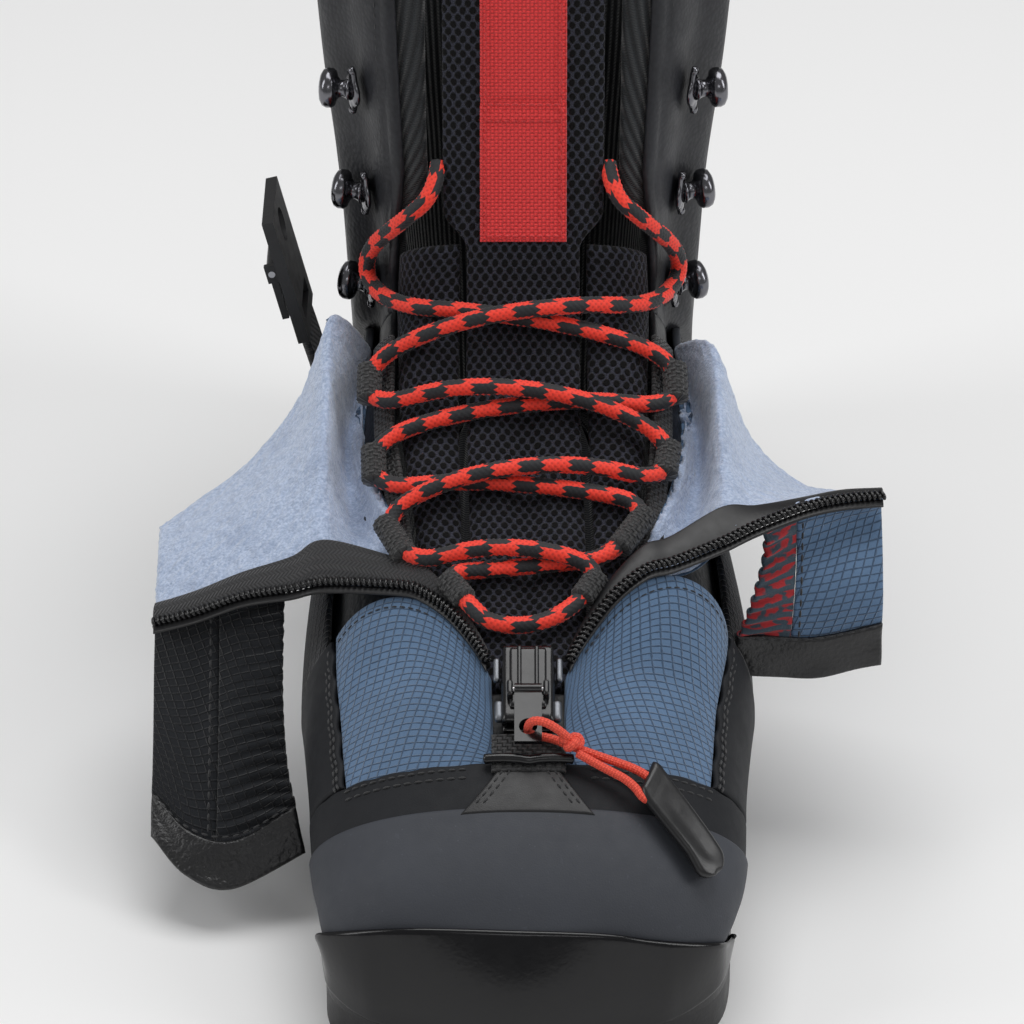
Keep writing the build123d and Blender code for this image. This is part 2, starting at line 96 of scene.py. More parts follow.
def station(s):
    """Cubic blend of the stations at s: bottom y and z, top y and z, half width, middle x."""
    s = np.asarray(s, float)
    last = len(STATIONS) - 1
    k = np.clip(s.astype(int), 0, last - 1)
    t = (s - k)[..., None]
    p0, p1 = STATIONS[np.maximum(k - 1, 0)], STATIONS[k]
    p2, p3 = STATIONS[k + 1], STATIONS[np.minimum(k + 2, last)]
    bend = 2 * p0 - 5 * p1 + 4 * p2 - p3 + t * (3 * (p1 - p2) + p3 - p0)
    return np.moveaxis(p1 + 0.5 * t * (p2 - p0 + t * bend), -1, 0)


def squareness(s):
    return np.clip((np.asarray(s, float) - 3.0) / 3.0, 0.0, 1.0)


def outline_point(s, turn, depth):
    by, bz, ty, tz, half, middle = station(s)
    height = np.maximum(np.hypot(ty - by, tz - bz), 1e-3)
    fade = np.minimum(1.0, s / TIP_FADE)
    inset, back = depth * fade, depth * (1 - fade)
    level = np.cos(turn)
    square = squareness(s)
    upper = WIDEST + (1 - WIDEST) * np.maximum(-level, 0) ** (1 - 0.5 * square)
    rise = np.where(level > 0, WIDEST * (1 - level), upper)
    power = np.where(level > 0, 0.8, 0.8 - 0.3 * square)
    below = inset * np.clip((s - 5.5) / 1.2, 0, 1)
    along = below + (height - inset - below) * rise
    across = np.maximum(half - inset, 0) * np.maximum(np.sin(turn), 0) ** power
    return across, by + (ty - by) / height * along + back, bz + (tz - bz) / height * along, middle


def sole_turn(s, depth):
    """The turn where the section meets the top of the midsole, or 0 where it is all above it."""
    low = np.zeros(np.shape(s))
    high = np.full(np.shape(s), 0.75 * math.pi)
    above = outline_point(s, low, depth)[2] >= SOLE_TOP
    for _ in range(22):
        middle = (low + high) / 2
        under = outline_point(s, middle, depth)[2] < SOLE_TOP
        low, high = np.where(under, middle, low), np.where(under, high, middle)
    return np.where(above, 0.0, high)


def form(s, girth, depth):
    """Points on the form: girth 0 on the ridge, -1 or 1 at the sole, beyond which it wraps round."""
    s, girth, depth = np.broadcast_arrays(*(np.asarray(a, float) for a in (s, girth, depth)))
    girth = np.where(np.abs(girth) > 1, girth - 2 * np.sign(girth), girth)
    turn = math.pi - np.abs(girth) * (math.pi - sole_turn(s, depth))
    across, y, z, middle = outline_point(s, turn, depth)
    return np.stack([middle + np.sign(girth) * across, y, z], -1)


def girth_at(s, x, depth):
    half = station(s)[4] - depth
    ratio = np.minimum(np.abs(x) / half, 1.0)
    angle = np.arcsin(ratio ** (1 / (0.8 - 0.3 * squareness(s))))
    return np.sign(x) * angle / (math.pi - sole_turn(s, depth))


def over(x, s, lift):
    """The point x from the middle at station s, lifted off the form."""
    return form(s, girth_at(s, x, -lift), -lift)


def between(table, s):
    return np.interp(s, [row[0] for row in table], [row[1] for row in table])


def surface_frame(x, s, lift):
    """Axes on the form: x up the boot, z outwards, as a 4x4."""
    here = over(x, s, lift)
    up = over(x, s + 0.05, lift) - here
    sideways = over(x + 0.4, s, lift) - here
    up /= np.linalg.norm(up)
    out = np.cross(sideways, up)
    out /= np.linalg.norm(out)
    axes = np.eye(4)
    axes[:3, 0], axes[:3, 1], axes[:3, 2], axes[:3, 3] = up, np.cross(out, up), out, here
    return axes


def local(axes, points):
    return np.asarray(points, float) @ axes[:3, :3].T + axes[:3, 3]


# ---- camera ----
# An estimated view. It was fitted to typical sizes of such a boot, which are not measured ones.
VIEW_ELEVATION = 31.0
camera_data = bpy.data.cameras.new("camera")
camera_data.lens = 180.9
camera_data.sensor_width = 36.0
camera = bpy.data.objects.new("camera", camera_data)
camera.location = (-0.00287, -1.1366, 0.7489)
camera.rotation_euler = (math.radians(90.0 - VIEW_ELEVATION), 0.0, 0.0)
bpy.context.scene.collection.objects.link(camera)
bpy.context.scene.camera = camera


# ---- meshes ----
def piece(name, points, faces, finish, body="boot", slot=None, replaces=(), loop_uv=None):
    """Mesh object from millimetres, on a body and with a material."""
    mesh = bpy.data.meshes.new(name)
    mesh.from_pydata((np.asarray(points, float) * MM).tolist(), [], [list(map(int, f)) for f in faces])
    if loop_uv is not None:
        layer = mesh.uv_layers.new(name="mm")
        layer.data.foreach_set("uv", np.asarray(loop_uv, np.float32).ravel())
    mesh.materials.append(finish)
    mesh.polygons.foreach_set("use_smooth", [True] * len(mesh.polygons))
    mesh.update()
    obj = bpy.data.objects.new(name, mesh)
    bpy.context.scene.collection.objects.link(obj)
    if body:
        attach(obj, body)
    if replaces:
        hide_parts(*replaces)
    return obj


def quads(index):
    """Faces of a grid of vertex numbers."""
    corners = (index[:-1, :-1], index[:-1, 1:], index[1:, 1:], index[1:, :-1])
    return np.stack(corners, -1).reshape(-1, 4)


def unit(vectors):
    return vectors / np.maximum(np.linalg.norm(vectors, axis=-1, keepdims=True), 1e-9)


def grid_normals(points, outward):
    """Unit normals of a grid, on the side that outward points to at its middle."""
    normal = np.cross(np.gradient(points, axis=0), np.gradient(points, axis=1))
    size = np.linalg.norm(normal, axis=-1)
    if size[0].max() < 1e-3:
        normal[0] = normal[1].mean(axis=0)
    normal = unit(normal)
    i, j = points.shape[0] // 2, points.shape[1] // 2
    flipped = np.dot(normal[i, j], outward) < 0
    return (-normal if flipped else normal), flipped


def arc(points, axis):
    """Distance along a grid's axis."""
    steps = np.linalg.norm(np.diff(points, axis=axis), axis=-1)
    zero = np.zeros_like(np.take(steps, [0], axis=axis))
    return np.concatenate([zero, np.cumsum(steps, axis=axis)], axis=axis)


def stops(count, length, roll):
    """Parameters from 0 to 1, close together within the rolled edges."""
    r = min(roll / length, 0.3)
    edge = np.array([0.0, 0.07, 0.28, 0.62]) * r
    return np.concatenate([edge, np.linspace(r, 1 - r, count), 1 - edge[::-1]])


def panel(name, place, outward, finish, size, thickness=1.8, count=(30, 30), roll=1.2, relief=None, **where):
    """Closed sheet of material with rolled edges. place(u, v) gives its outer face."""
    u, v = np.meshgrid(stops(count[0], size[0], roll), stops(count[1], size[1], roll), indexing="ij")
    points = place(u, v)
    normal, flipped = grid_normals(points, outward)
    rows, columns = arc(points, 0), arc(points, 1)
    edge = np.minimum(np.minimum(rows, rows[-1] - rows), np.minimum(columns, columns[:, -1:] - columns))
    if relief is not None:
        lift = relief(u, v, rows, columns)
        points = points + normal * lift[..., None]
        normal, _ = grid_normals(points, outward)
    near = 1 - np.clip(edge / roll, 0, 1)
    drop = (thickness / 2 * (1 - np.sqrt(np.maximum(1 - near ** 2, 0))))[..., None]
    outer = points - normal * drop
    inner = points - normal * (thickness - drop)
    n, m = u.shape
    top = np.arange(n * m).reshape(n, m)
    bottom = top.copy()
    bottom[1:-1, 1:-1] = n * m + np.arange((n - 2) * (m - 2)).reshape(n - 2, m - 2)
    faces = np.concatenate([quads(top), quads(bottom)[:, ::-1]])
    if flipped:
        faces = faces[:, ::-1]
    across = columns - columns[:, m // 2][:, None]
    up = np.repeat(rows[:, m // 2][:, None], m, axis=1)
    uv = np.stack([across, up], -1)
    vertex_uv = np.concatenate([uv.reshape(-1, 2), uv[1:-1, 1:-1].reshape(-1, 2)])
    everything = np.concatenate([outer.reshape(-1, 3), inner[1:-1, 1:-1].reshape(-1, 3)])
    return piece(name, everything, faces, finish, loop_uv=vertex_uv[faces].reshape(-1, 2), **where)


def layer(name, coordinates, depth, finish, size, **rest):
    """Panel on the form. coordinates(u, v) gives station, girth and lift."""
    def place(u, v):
        s, g, rise = coordinates(u, v)
        return form(s, g, depth - rise)
    s, g, rise = (np.asarray(a, float) for a in coordinates(np.array([[0.5]]), np.array([[0.5]])))
    outward = (form(s, g, depth - rise) - form(s, g, depth - rise + 2)).reshape(3)
    return panel(name, place, outward, finish, size, **rest)


def strip(s0, s1, edge_a, edge_b, depth):
    """Coordinates between two stations and two edges that give girth for s and depth."""
    def coordinates(u, v):
        s = s0 + (s1 - s0) * u
        a, b = edge_a(s, depth), edge_b(s, depth)
        return s, a + (b - a) * v, 0.0 * u
    return coordinates


def slanted(front, back, girth_a, girth_b, rise=lambda s: 0.0 * s, settle=0.0):
    """Coordinates between two girths, whose front and back edges give s for girth."""
    def coordinates(u, v):
        g = girth_a + (girth_b - girth_a) * v
        s = front(g) + (back(g) - front(g)) * u
        return s, g, rise(s) * (1 - settle * v ** 2.5)
    return coordinates


def at_x(width, side, clearance=0.0):
    def edge(s, depth):
        x = between(width, s) if isinstance(width, tuple) else width + 0.0 * s
        return girth_at(s, side * (x + clearance), depth)
    return edge


def at_girth(girth):
    return lambda s, depth: girth + 0.0 * s


def ripple(x, y, seed):
    """Smooth unevenness about zero, the same each run."""
    total = 0.0
    for k in range(5):
        a = 1.7 * seed + 2.4 * k
        across, along = x * (0.7 + 0.35 * k) * math.cos(a), y * (0.9 + 0.3 * k) * math.sin(a)
        total = total + np.sin(across + along + 3.1 * a)
    return total / 5


def uneven(height, along, across, seed):
    """Relief of smooth unevenness, with its grain along and across in millimetres."""
    return lambda u, v, rows, columns: height * ripple(rows / along, columns / across, seed)


def resample(points, step):
    """Points a step apart along a line."""
    points = np.asarray(points, float)
    run = np.concatenate([[0.0], np.cumsum(np.linalg.norm(np.diff(points, axis=0), axis=1))])
    at = np.linspace(0, run[-1], max(int(run[-1] / step), 2) + 1)
    return np.stack([np.interp(at, run, points[:, k]) for k in range(3)], -1), at


def smooth_line(points, count=14):
    """Catmull-Rom curve through points."""
    p = np.asarray(points, float)
    p = np.concatenate([[2 * p[0] - p[1]], p, [2 * p[-1] - p[-2]]])
    t = np.linspace(0, 1, count, endpoint=False)[:, None]
    runs = []
    for p0, p1, p2, p3 in zip(p, p[1:], p[2:], p[3:]):
        bend = 2 * p0 - 5 * p1 + 4 * p2 - p3 + t * (3 * (p1 - p2) + p3 - p0)
        runs.append(p1 + 0.5 * t * (p2 - p0 + t * bend))
    return np.concatenate(runs + [p[-2:-1]])


def frames(path):
    """Tangent and two side directions along a line, turning as little as possible."""
    tangent = unit(np.gradient(path, axis=0))
    side = np.cross(tangent[0], (0.0, 0.0, 1.0))
    if np.linalg.norm(side) < 0.1:
        side = np.cross(tangent[0], (1.0, 0.0, 0.0))
    sides = []
    for t in tangent:
        side = side - t * np.dot(side, t)
        side = side / np.linalg.norm(side)
        sides.append(side)
    sides = np.array(sides)
    return tangent, sides, np.cross(tangent, sides)


def tube(path, at, radius, ring, relief=None):
    """Closed round tube along a line: points, faces and uv in millimetres (round, along)."""
    tangent, side, other = frames(path)
    angle = np.linspace(0, 2 * math.pi, ring, endpoint=False)
    size = np.full((len(path), ring), radius, float)
    if relief is not None:
        size = size + relief(angle[None, :], at[:, None])
    round_side = side[:, None] * np.cos(angle)[None, :, None]
    round_other = other[:, None] * np.sin(angle)[None, :, None]
    points = path[:, None] + (round_side + round_other) * size[..., None]
    n = len(path)
    index = np.arange(n * ring).reshape(n, ring)
    index = np.concatenate([index, index[:, :1]], axis=1)
    faces = quads(index)
    round_mm = np.linspace(0, 2 * math.pi * radius, ring + 1)
    uv = np.stack(np.meshgrid(round_mm, at, indexing="xy"), -1)
    loops = np.stack([uv[:-1, :-1], uv[:-1, 1:], uv[1:, 1:], uv[1:, :-1]], -2).reshape(-1, 2)
    everything = np.concatenate([points.reshape(-1, 3), path[:1] - tangent[:1] * radius * 0.35,
                                 path[-1:] + tangent[-1:] * radius * 0.35])
    caps, cap_uv = [], []
    for k in range(ring):
        caps.append((index[0, k + 1], index[0, k], n * ring))
        caps.append((index[-1, k], index[-1, k + 1], n * ring + 1))
        for row in (0, -1):
            cap_uv += [(round_mm[k], at[row]), (round_mm[k + 1], at[row]), (round_mm[k], at[row])]
    return everything, [tuple(f) for f in faces] + caps, np.concatenate([loops, np.array(cap_uv)])


class Heap:
    """Many small pieces gathered into one mesh."""

    def __init__(self):
        self.points, self.faces, self.uv, self.total = [], [], [], 0

    def add(self, points, faces, uv=None):
        self.points.append(np.asarray(points, float))
        self.faces += [tuple(int(k) + self.total for k in f) for f in faces]
        loops = sum(len(f) for f in faces)
        self.uv.append(np.zeros((loops, 2)) if uv is None else np.asarray(uv, float))
        self.total += len(points)

    def done(self, name, finish, **where):
        return piece(name, np.concatenate(self.points), self.faces, finish,
                     loop_uv=np.concatenate(self.uv), **where)


BEAD_RINGS = ((-0.5, 0.35), (-0.3, 0.85), (0.0, 1.0), (0.3, 0.85), (0.5, 0.35))


def bead(start, end, out, width, height):
    """One stitch: a low rounded bar lying on a surface."""
    along = end - start
    length = np.linalg.norm(along)
    along = along / length
    side = np.cross(out, along)
    side = side / max(np.linalg.norm(side), 1e-9)
    points, faces = [], []
    for t, scale in BEAD_RINGS:
        centre = (start + end) / 2 + along * length * t
        for k in range(6):
            a = math.pi * k / 3
            sideways, upwards = side * math.cos(a) * width / 2 * scale, out * math.sin(a) * height * scale
            points.append(centre + sideways + upwards)
    for r in range(len(BEAD_RINGS) - 1):
        for k in range(6):
            a, b = r * 6 + k, r * 6 + (k + 1) % 6
            faces.append((a, b, b + 6, a + 6))
    faces.append((5, 4, 3, 2, 1, 0))
    last = (len(BEAD_RINGS) - 1) * 6
    faces.append(tuple(last + k for k in range(6)))
    return points, faces


def stitch(heap, path, out, length=2.3, gap=0.9, width=0.7, height=0.35):
    """A row of stitches along a line whose surface faces out."""
    line, at = resample(path, length + gap)
    out = np.asarray(out, float)
    if out.ndim == 2:
        picks = np.linspace(0, len(out) - 1, len(line)).round().astype(int)
        out = out[picks]
    else:
        out = np.repeat(out[None], len(line), axis=0)
    for a, b, o in zip(line, line[1:], out):
        share = gap / (length + gap) / 2
        heap.add(*bead(a + (b - a) * share, b - (b - a) * share, o, width, height))


def stitch_form(heap, s, g, depth, **sizes):
    """A row of stitches on the form, through arrays of station and girth."""
    path = form(s, g, depth)
    stitch(heap, path, unit(path - form(s, g, depth + 1.0)), **sizes)


# ---- materials ----
class Number:
    """A number that a shader works out. Arithmetic on it adds Math nodes."""

    def __init__(self, tree, socket):
        self.tree, self.socket = tree, socket

    def do(self, operation, *others):
        node = self.tree.nodes.new("ShaderNodeMath")
        node.operation = operation
        for k, value in enumerate((self, *others)):
            if isinstance(value, Number):
                self.tree.links.new(value.socket, node.inputs[k])
            else:
                node.inputs[k].default_value = value
        return Number(self.tree, node.outputs[0])

    def step(self, low, high):
        """0 below low, 1 above high, smooth between them."""
        node = self.tree.nodes.new("ShaderNodeMapRange")
        node.interpolation_type = "SMOOTHSTEP"
        node.inputs["From Min"].default_value = low
        node.inputs["From Max"].default_value = high
        self.tree.links.new(self.socket, node.inputs["Value"])
        return Number(self.tree, node.outputs["Result"])


def math_method(operation):
    return lambda self, *others: self.do(operation, *others)


for method, operation in (("__add__", "ADD"), ("__sub__", "SUBTRACT"), ("__mul__", "MULTIPLY"),
                          ("__truediv__", "DIVIDE"), ("fract", "FRACT"), ("floor", "FLOOR"), ("sin", "SINE"),
                          ("size", "ABSOLUTE"), ("least", "MINIMUM"), ("most", "MAXIMUM"), ("root", "SQRT")):
    setattr(Number, method, math_method(operation))


class Finish:
    """Principled material built up in layers."""

    def __init__(self, name, colour, rough, **sockets):
        self.material = bpy.data.materials.new(name)
        self.material.use_nodes = True
        self.tree = self.material.node_tree
        self.shader = self.tree.nodes["Principled BSDF"]
        self.colour = None
        self.base = (*colour, 1.0)
        self.shader.inputs["Base Color"].default_value = self.base
        self.shader.inputs["Roughness"].default_value = rough
        for socket, value in sockets.items():
            self.shader.inputs[socket.replace("_", " ").title().replace("Ior", "IOR")].default_value = value

    def node(self, kind, **settings):
        node = self.tree.nodes.new("ShaderNode" + kind)
        for key, value in settings.items():
            setattr(node, key, value)
        return node

    def uv(self):
        """Millimetres across and along the piece."""
        split = self.node("SeparateXYZ")
        self.tree.links.new(self.node("UVMap", uv_map="mm").outputs[0], split.inputs[0])
        return Number(self.tree, split.outputs[0]), Number(self.tree, split.outputs[1])

    def place(self, stretch):
        scale = self.node("Mapping")
        scale.inputs["Scale"].default_value = [1000.0 * k for k in stretch]
        self.tree.links.new(self.node("TexCoord").outputs["Object"], scale.inputs[0])
        return scale.outputs[0]

    def noise(self, size, detail=2.0, stretch=(1, 1, 1)):
        node = self.node("TexNoise")
        node.inputs["Scale"].default_value = 1.0 / size
        node.inputs["Detail"].default_value = detail
        self.tree.links.new(self.place(stretch), node.inputs["Vector"])
        return Number(self.tree, node.outputs[0])

    def weave_noise(self, across, along, detail=2.0):
        """Noise in the piece's own directions, with its grain across and along in millimetres."""
        scale = self.node("Mapping")
        scale.inputs["Scale"].default_value = (1.0 / across, 1.0 / along, 1.0)
        self.tree.links.new(self.node("UVMap", uv_map="mm").outputs[0], scale.inputs[0])
        node = self.node("TexNoise")
        node.inputs["Scale"].default_value = 1.0
        node.inputs["Detail"].default_value = detail
        self.tree.links.new(scale.outputs[0], node.inputs["Vector"])
        return Number(self.tree, node.outputs[0])

    def cells(self, size):
        """Distance to the nearest of points scattered a size apart."""
        node = self.node("TexVoronoi", feature="F1")
        node.inputs["Scale"].default_value = 1.0 / size
        self.tree.links.new(self.place((1, 1, 1)), node.inputs["Vector"])
        return Number(self.tree, node.outputs["Distance"])

    def paint(self, amount, colour):
        """Lays a colour over what is there, as strongly as amount says."""
        mix = self.node("Mix", data_type="RGBA")
        self.tree.links.new(amount.socket, mix.inputs[0])
        if self.colour is None:
            mix.inputs[6].default_value = self.base
        else:
            self.tree.links.new(self.colour, mix.inputs[6])
        mix.inputs[7].default_value = (*colour, 1.0)
        self.colour = mix.outputs[2]
        self.tree.links.new(self.colour, self.shader.inputs["Base Color"])
        return self

    def rough(self, number):
        self.tree.links.new(number.socket, self.shader.inputs["Roughness"])
        return self

    def bump(self, height, depth, strength=1.0):
        node = self.node("Bump")
        node.inputs["Distance"].default_value = depth * MM
        node.inputs["Strength"].default_value = strength
        self.tree.links.new(height.socket, node.inputs["Height"])
        if self.shader.inputs["Normal"].is_linked:
            self.tree.links.new(self.shader.inputs["Normal"].links[0].from_socket, node.inputs["Normal"])
        self.tree.links.new(node.outputs[0], self.shader.inputs["Normal"])
        return self


def softshell(name, cell, line, across, along, lean):
    """Stretch cloth with a woven grid of small darker lines."""
    f = Finish(name, cell, 0.82, sheen_weight=0.25, sheen_roughness=0.5, specular_ior_level=0.25)
    u, v = f.uv()
    wave = (u * 0.5).sin() * 0.10
    rows = (((v + wave) / along).fract() - 0.5).size()
    posts = (((u + v * lean) / across).fract() - 0.5).size()
    wobble = (f.weave_noise(1.6, 1.2) - 0.5) * 0.16
    grid = (rows + wobble).step(0.34, 0.50).most((posts + wobble).step(0.36, 0.50))
    thread = f.weave_noise(0.35, 0.22, 3.0)
    f.paint((thread - 0.5).size() * 1.6, [c * 0.55 for c in cell])
    f.paint(f.noise(14.0).step(0.35, 0.75) * 0.35, [c * 1.35 for c in cell])
    f.paint(grid * 0.7, line)
    f.bump(grid * -1.0 + 1.0, 0.35, 0.8)
    f.bump(thread, 0.18, 0.6)
    f.rough(grid * 0.08 + 0.8)
    return f.material


def spacer_mesh():
    """Thick knitted mesh with rows of open holes, coloured near-black inside as painted shade."""
    f = Finish("spacer_mesh", (0.020, 0.021, 0.031), 0.8, sheen_weight=0.12, sheen_roughness=0.4,
               specular_ior_level=0.18)
    u, v = f.uv()
    wander = f.weave_noise(3.0, 3.0, 1.0) * 0.7
    across, along = (u + wander) / 2.5, (v + wander) / 3.7
    holes = None
    for shift in (0.0, 0.5):
        x = ((across + shift).fract() - 0.5) * 2.5
        y = ((along + shift).fract() - 0.5) * 3.7
        near = (x * x + y * y * 0.7).root()
        holes = near if holes is None else holes.least(near)
    hole_shade = (holes * -1.0).step(-0.95, -0.62)
    yarn = f.weave_noise(0.4, 0.28, 3.0)
    f.paint(yarn.step(0.35, 0.7) * 0.8, (0.060, 0.064, 0.088))
    # Painted shade: the holes are coloured near-black for the shade inside them.
    f.paint(hole_shade, (0.0008, 0.0008, 0.001))
    f.bump(hole_shade * -1.0 + 1.0, 0.9, 1.0)
    f.bump(yarn, 0.3, 0.9)
    return f.material


def leather(name, colour):
    f = Finish(name, colour, 0.5, specular_ior_level=0.38)
    pebble = f.cells(1.25)
    f.paint(pebble.step(0.3, 0.75) * 0.5, [c * 0.5 for c in colour])
    f.paint(f.noise(22.0, 3.0).step(0.45, 0.8) * 0.35, [c * 1.7 for c in colour])
    f.bump(pebble * -1.0 + 1.0, 0.16, 0.7)
    f.bump(f.noise(0.35), 0.06, 0.6)
    f.rough(f.noise(5.0) * 0.22 + 0.38)
    return f.material


def coated(name, colour, rough, grain=0.5, depth=0.07, speck=0.0, shine=0.5):
    """Moulded, coated or rubbery surface with fine grain, small scuffs and a little dust."""
    f = Finish(name, colour, rough, specular_ior_level=shine)
    f.paint(f.noise(30.0, 3.0).step(0.4, 0.8) * 0.4, [c * 1.5 for c in colour])
    scuff = f.noise(1.6, 4.0, (1, 0.25, 1)).step(0.66, 0.78)
    f.paint(scuff * 0.35, [c * 2.2 + 0.004 for c in colour])
    if speck:
        f.paint(f.cells(2.6).step(0.0, 0.09) * -speck + speck, [min(c * 3.0, 1.0) for c in colour])
    f.bump(f.noise(grain, 3.0), depth, 0.8)
    f.rough(f.noise(3.5, 3.0) * 0.2 + (rough - 0.1) + scuff * 0.1)
    return f.material


def fleece_cloth():
    """Brushed pile: pale tips, bluer roots, and a direction where it was stroked."""
    f = Finish("fleece", (0.33, 0.42, 0.60), 0.95, sheen_weight=0.7, sheen_roughness=0.6,
               specular_ior_level=0.1)
    f.paint(f.noise(0.7, 4.0).step(0.35, 0.7) * 0.75, (0.58, 0.67, 0.86))
    f.paint(f.noise(9.0, 2.0).step(0.5, 0.85) * 0.45, (0.24, 0.31, 0.47))
    f.paint(f.cells(2.3).step(0.55, 0.8) * 0.25, (0.2, 0.26, 0.4))
    f.bump(f.noise(0.5, 4.0), 0.5, 0.8)
    f.bump(f.noise(2.6, 2.0), 0.8, 0.7)
    return f.material


def woven(name, light, dark, pitch_u, pitch_v, rough=0.7, sheen=0.2, depth=0.35):
    """Webbing in basket weave: warp and weft floats in turn."""
    f = Finish(name, light, rough, sheen_weight=sheen)
    u, v = f.uv()
    x, y = u / pitch_u, v / pitch_v
    turn = ((x.floor() + y.floor()) * 0.5).fract() * 2.0
    warp = ((x.fract() - 0.5).size() * -2.0 + 1.0).step(0.0, 0.9)
    weft = ((y.fract() - 0.5).size() * -2.0 + 1.0).step(0.0, 0.9)
    height = warp * turn + weft * (turn * -1.0 + 1.0)
    gap = (warp * weft) * -1.0 + 1.0
    f.paint(gap.step(0.25, 1.0) * 0.85, dark)
    f.paint(f.weave_noise(0.25, 2.0) * 0.3, [min(c * 1.4, 1.0) for c in light])
    f.bump(height, depth, 1.0)
    f.bump(f.weave_noise(0.3, 0.3), 0.1, 0.5)
    return f.material


def herringbone(name, colour):
    """Zip tape: fine chevrons along its length."""
    f = Finish(name, colour, 0.6, sheen_weight=0.2)
    u, v = f.uv()
    zigzag = ((u / 3.0).fract() - 0.5).size() * 2.4
    rib = ((v + zigzag) * 5.5).sin()
    f.paint(rib.step(0.2, 1.0) * 0.6, [c * 3.2 + 0.01 for c in colour])
    f.bump(rib * 0.5 + 0.5, 0.25, 0.9)
    f.rough(f.weave_noise(1.0, 1.0) * 0.2 + 0.5)
    return f.material


def rib_knit(name, colour):
    f = Finish(name, colour, 0.85, sheen_weight=0.3)
    u, v = f.uv()
    rib = (u * (2 * math.pi / 2.4)).sin()
    loop = ((v + rib * 0.3) * (2 * math.pi / 1.1)).sin()
    f.paint(rib.step(-0.2, 1.0) * 0.7, [c * 2.0 for c in colour])
    f.bump(rib * 0.5 + 0.5, 0.7, 0.9)
    f.bump(loop * 0.5 + 0.5, 0.2, 0.6)
    return f.material


def lace_braid():
    """Round lace: red yarn with black blocks that step round it."""
    f = Finish("lace_braid", (0.95, 0.045, 0.020), 0.62, sheen_weight=0.15)
    u, v = f.uv()
    sector = (((u / (math.pi * LACE_D) + 0.06) * 4.0).floor() * 0.5).fract() * 2.0
    jag = ((u / 1.73).fract() - 0.5).size() * 2.6
    black = (((v + jag) / 12.5 + sector * 0.36).fract() - 0.5).size() * -1.0
    black = black.step(-0.25, -0.23)
    yarn = ((u * (8 / (LACE_D / 2))).sin() * (v * (math.pi / 0.75)).sin())
    f.paint(yarn.step(-0.9, 0.1) * -0.45 + 0.45, (0.30, 0.006, 0.004))
    f.paint(black, (0.008, 0.009, 0.012))
    f.bump(f.weave_noise(0.25, 0.25), 0.12, 0.7)
    return f.material


def shirred(cell):
    """Elastic gathered cloth with plain red stripes between its folds."""
    f = Finish("shirred_elastic", cell, 0.8, sheen_weight=0.2)
    u, v = f.uv()
    bend = (u * 0.45).sin() * 0.5
    stripe = (((v + bend) / 3.4).fract() - 0.5).size().step(0.16, 0.24)
    broken = f.weave_noise(3.2, 2.2, 1.0).step(0.42, 0.52)
    f.paint(f.weave_noise(0.5, 0.4, 3.0).step(0.4, 0.8) * 0.5, [c * 0.4 for c in cell])
    f.paint(stripe * broken * 0.92, (0.42, 0.012, 0.016))
    f.bump(f.weave_noise(0.5, 0.5), 0.2, 0.7)
    return f.material


def metal(name, colour, rough):
    f = Finish(name, colour, rough, metallic=1.0)
    f.paint(f.noise(3.0, 3.0).step(0.5, 0.9) * 0.4, [c * 0.5 for c in colour])
    f.bump(f.noise(0.6, 2.0, (1, 1, 6)), 0.012, 0.5)
    f.rough(f.noise(1.4, 3.0) * 0.12 + rough)
    return f.material


BLUE = (0.098, 0.17, 0.285)
BLUE_LINE = (0.026, 0.05, 0.095)
SOFTSHELL = softshell("softshell_grid", BLUE, BLUE_LINE, 2.6, 1.95, 0.38)
# Near-black softshell: the own colour of the black gaiter sides and heel panel, and painted shade on the left
# flap, whose cloth is the blue softshell of the right flap.
SOFTSHELL_BLACK_AND_SHADE = softshell("softshell_black_and_painted_shade", (0.0045, 0.006, 0.009), (0.002, 0.0025, 0.004), 2.6, 1.95,
                           0.38)
MESH = spacer_mesh()
CUFF_LEATHER = leather("pebbled_leather", (0.017, 0.018, 0.022))
QUARTER_LEATHER = leather("quarter_leather", (0.010, 0.011, 0.013))
OVERLAY = coated("coated_overlay", (0.009, 0.010, 0.0125), 0.66, 0.35, 0.10, shine=0.3)
GLOSS_FABRIC = coated("facing_gloss", (0.004, 0.004, 0.005), 0.42, 0.3, 0.05)
RAND = coated("rand_rubber", (0.036, 0.040, 0.050), 0.66, 0.45, 0.07, speck=0.5)
GLOSS_RUBBER = coated("toe_rubber", (0.003, 0.003, 0.004), 0.20, 1.4, 0.05, shine=0.4)
SOLE_RUBBER = coated("sole_rubber", (0.006, 0.006, 0.007), 0.45, 0.8, 0.10)
MIDSOLE = coated("midsole_foam", (0.006, 0.006, 0.007), 0.34, 0.7, 0.12)
FLEECE = fleece_cloth()
TAPE = herringbone("zip_tape", (0.006, 0.006, 0.0075))
KNIT = rib_knit("collar_knit", (0.010, 0.012, 0.014))
LINING_KNIT = rib_knit("lining_knit", (0.011, 0.012, 0.015))
RED_WEB = woven("red_webbing", (0.92, 0.036, 0.036), (0.55, 0.010, 0.012), 1.0, 0.85)
BLACK_WEB = woven("black_webbing", (0.014, 0.014, 0.016), (0.003, 0.003, 0.003), 1.2, 1.0, 0.55)
LACE = lace_braid()
CORD_BRAID = woven("orange_cord", (0.98, 0.105, 0.055), (0.62, 0.03, 0.015), 0.6, 0.7, 0.55, 0.1, 0.10)
SHIRRED = shirred((0.04, 0.065, 0.09))
BAND = coated("collar_band", (0.009, 0.009, 0.010), 0.34, 1.1, 0.4, speck=0.6)
HOOK_METAL = metal("black_nickel", (0.17, 0.17, 0.185), 0.14)
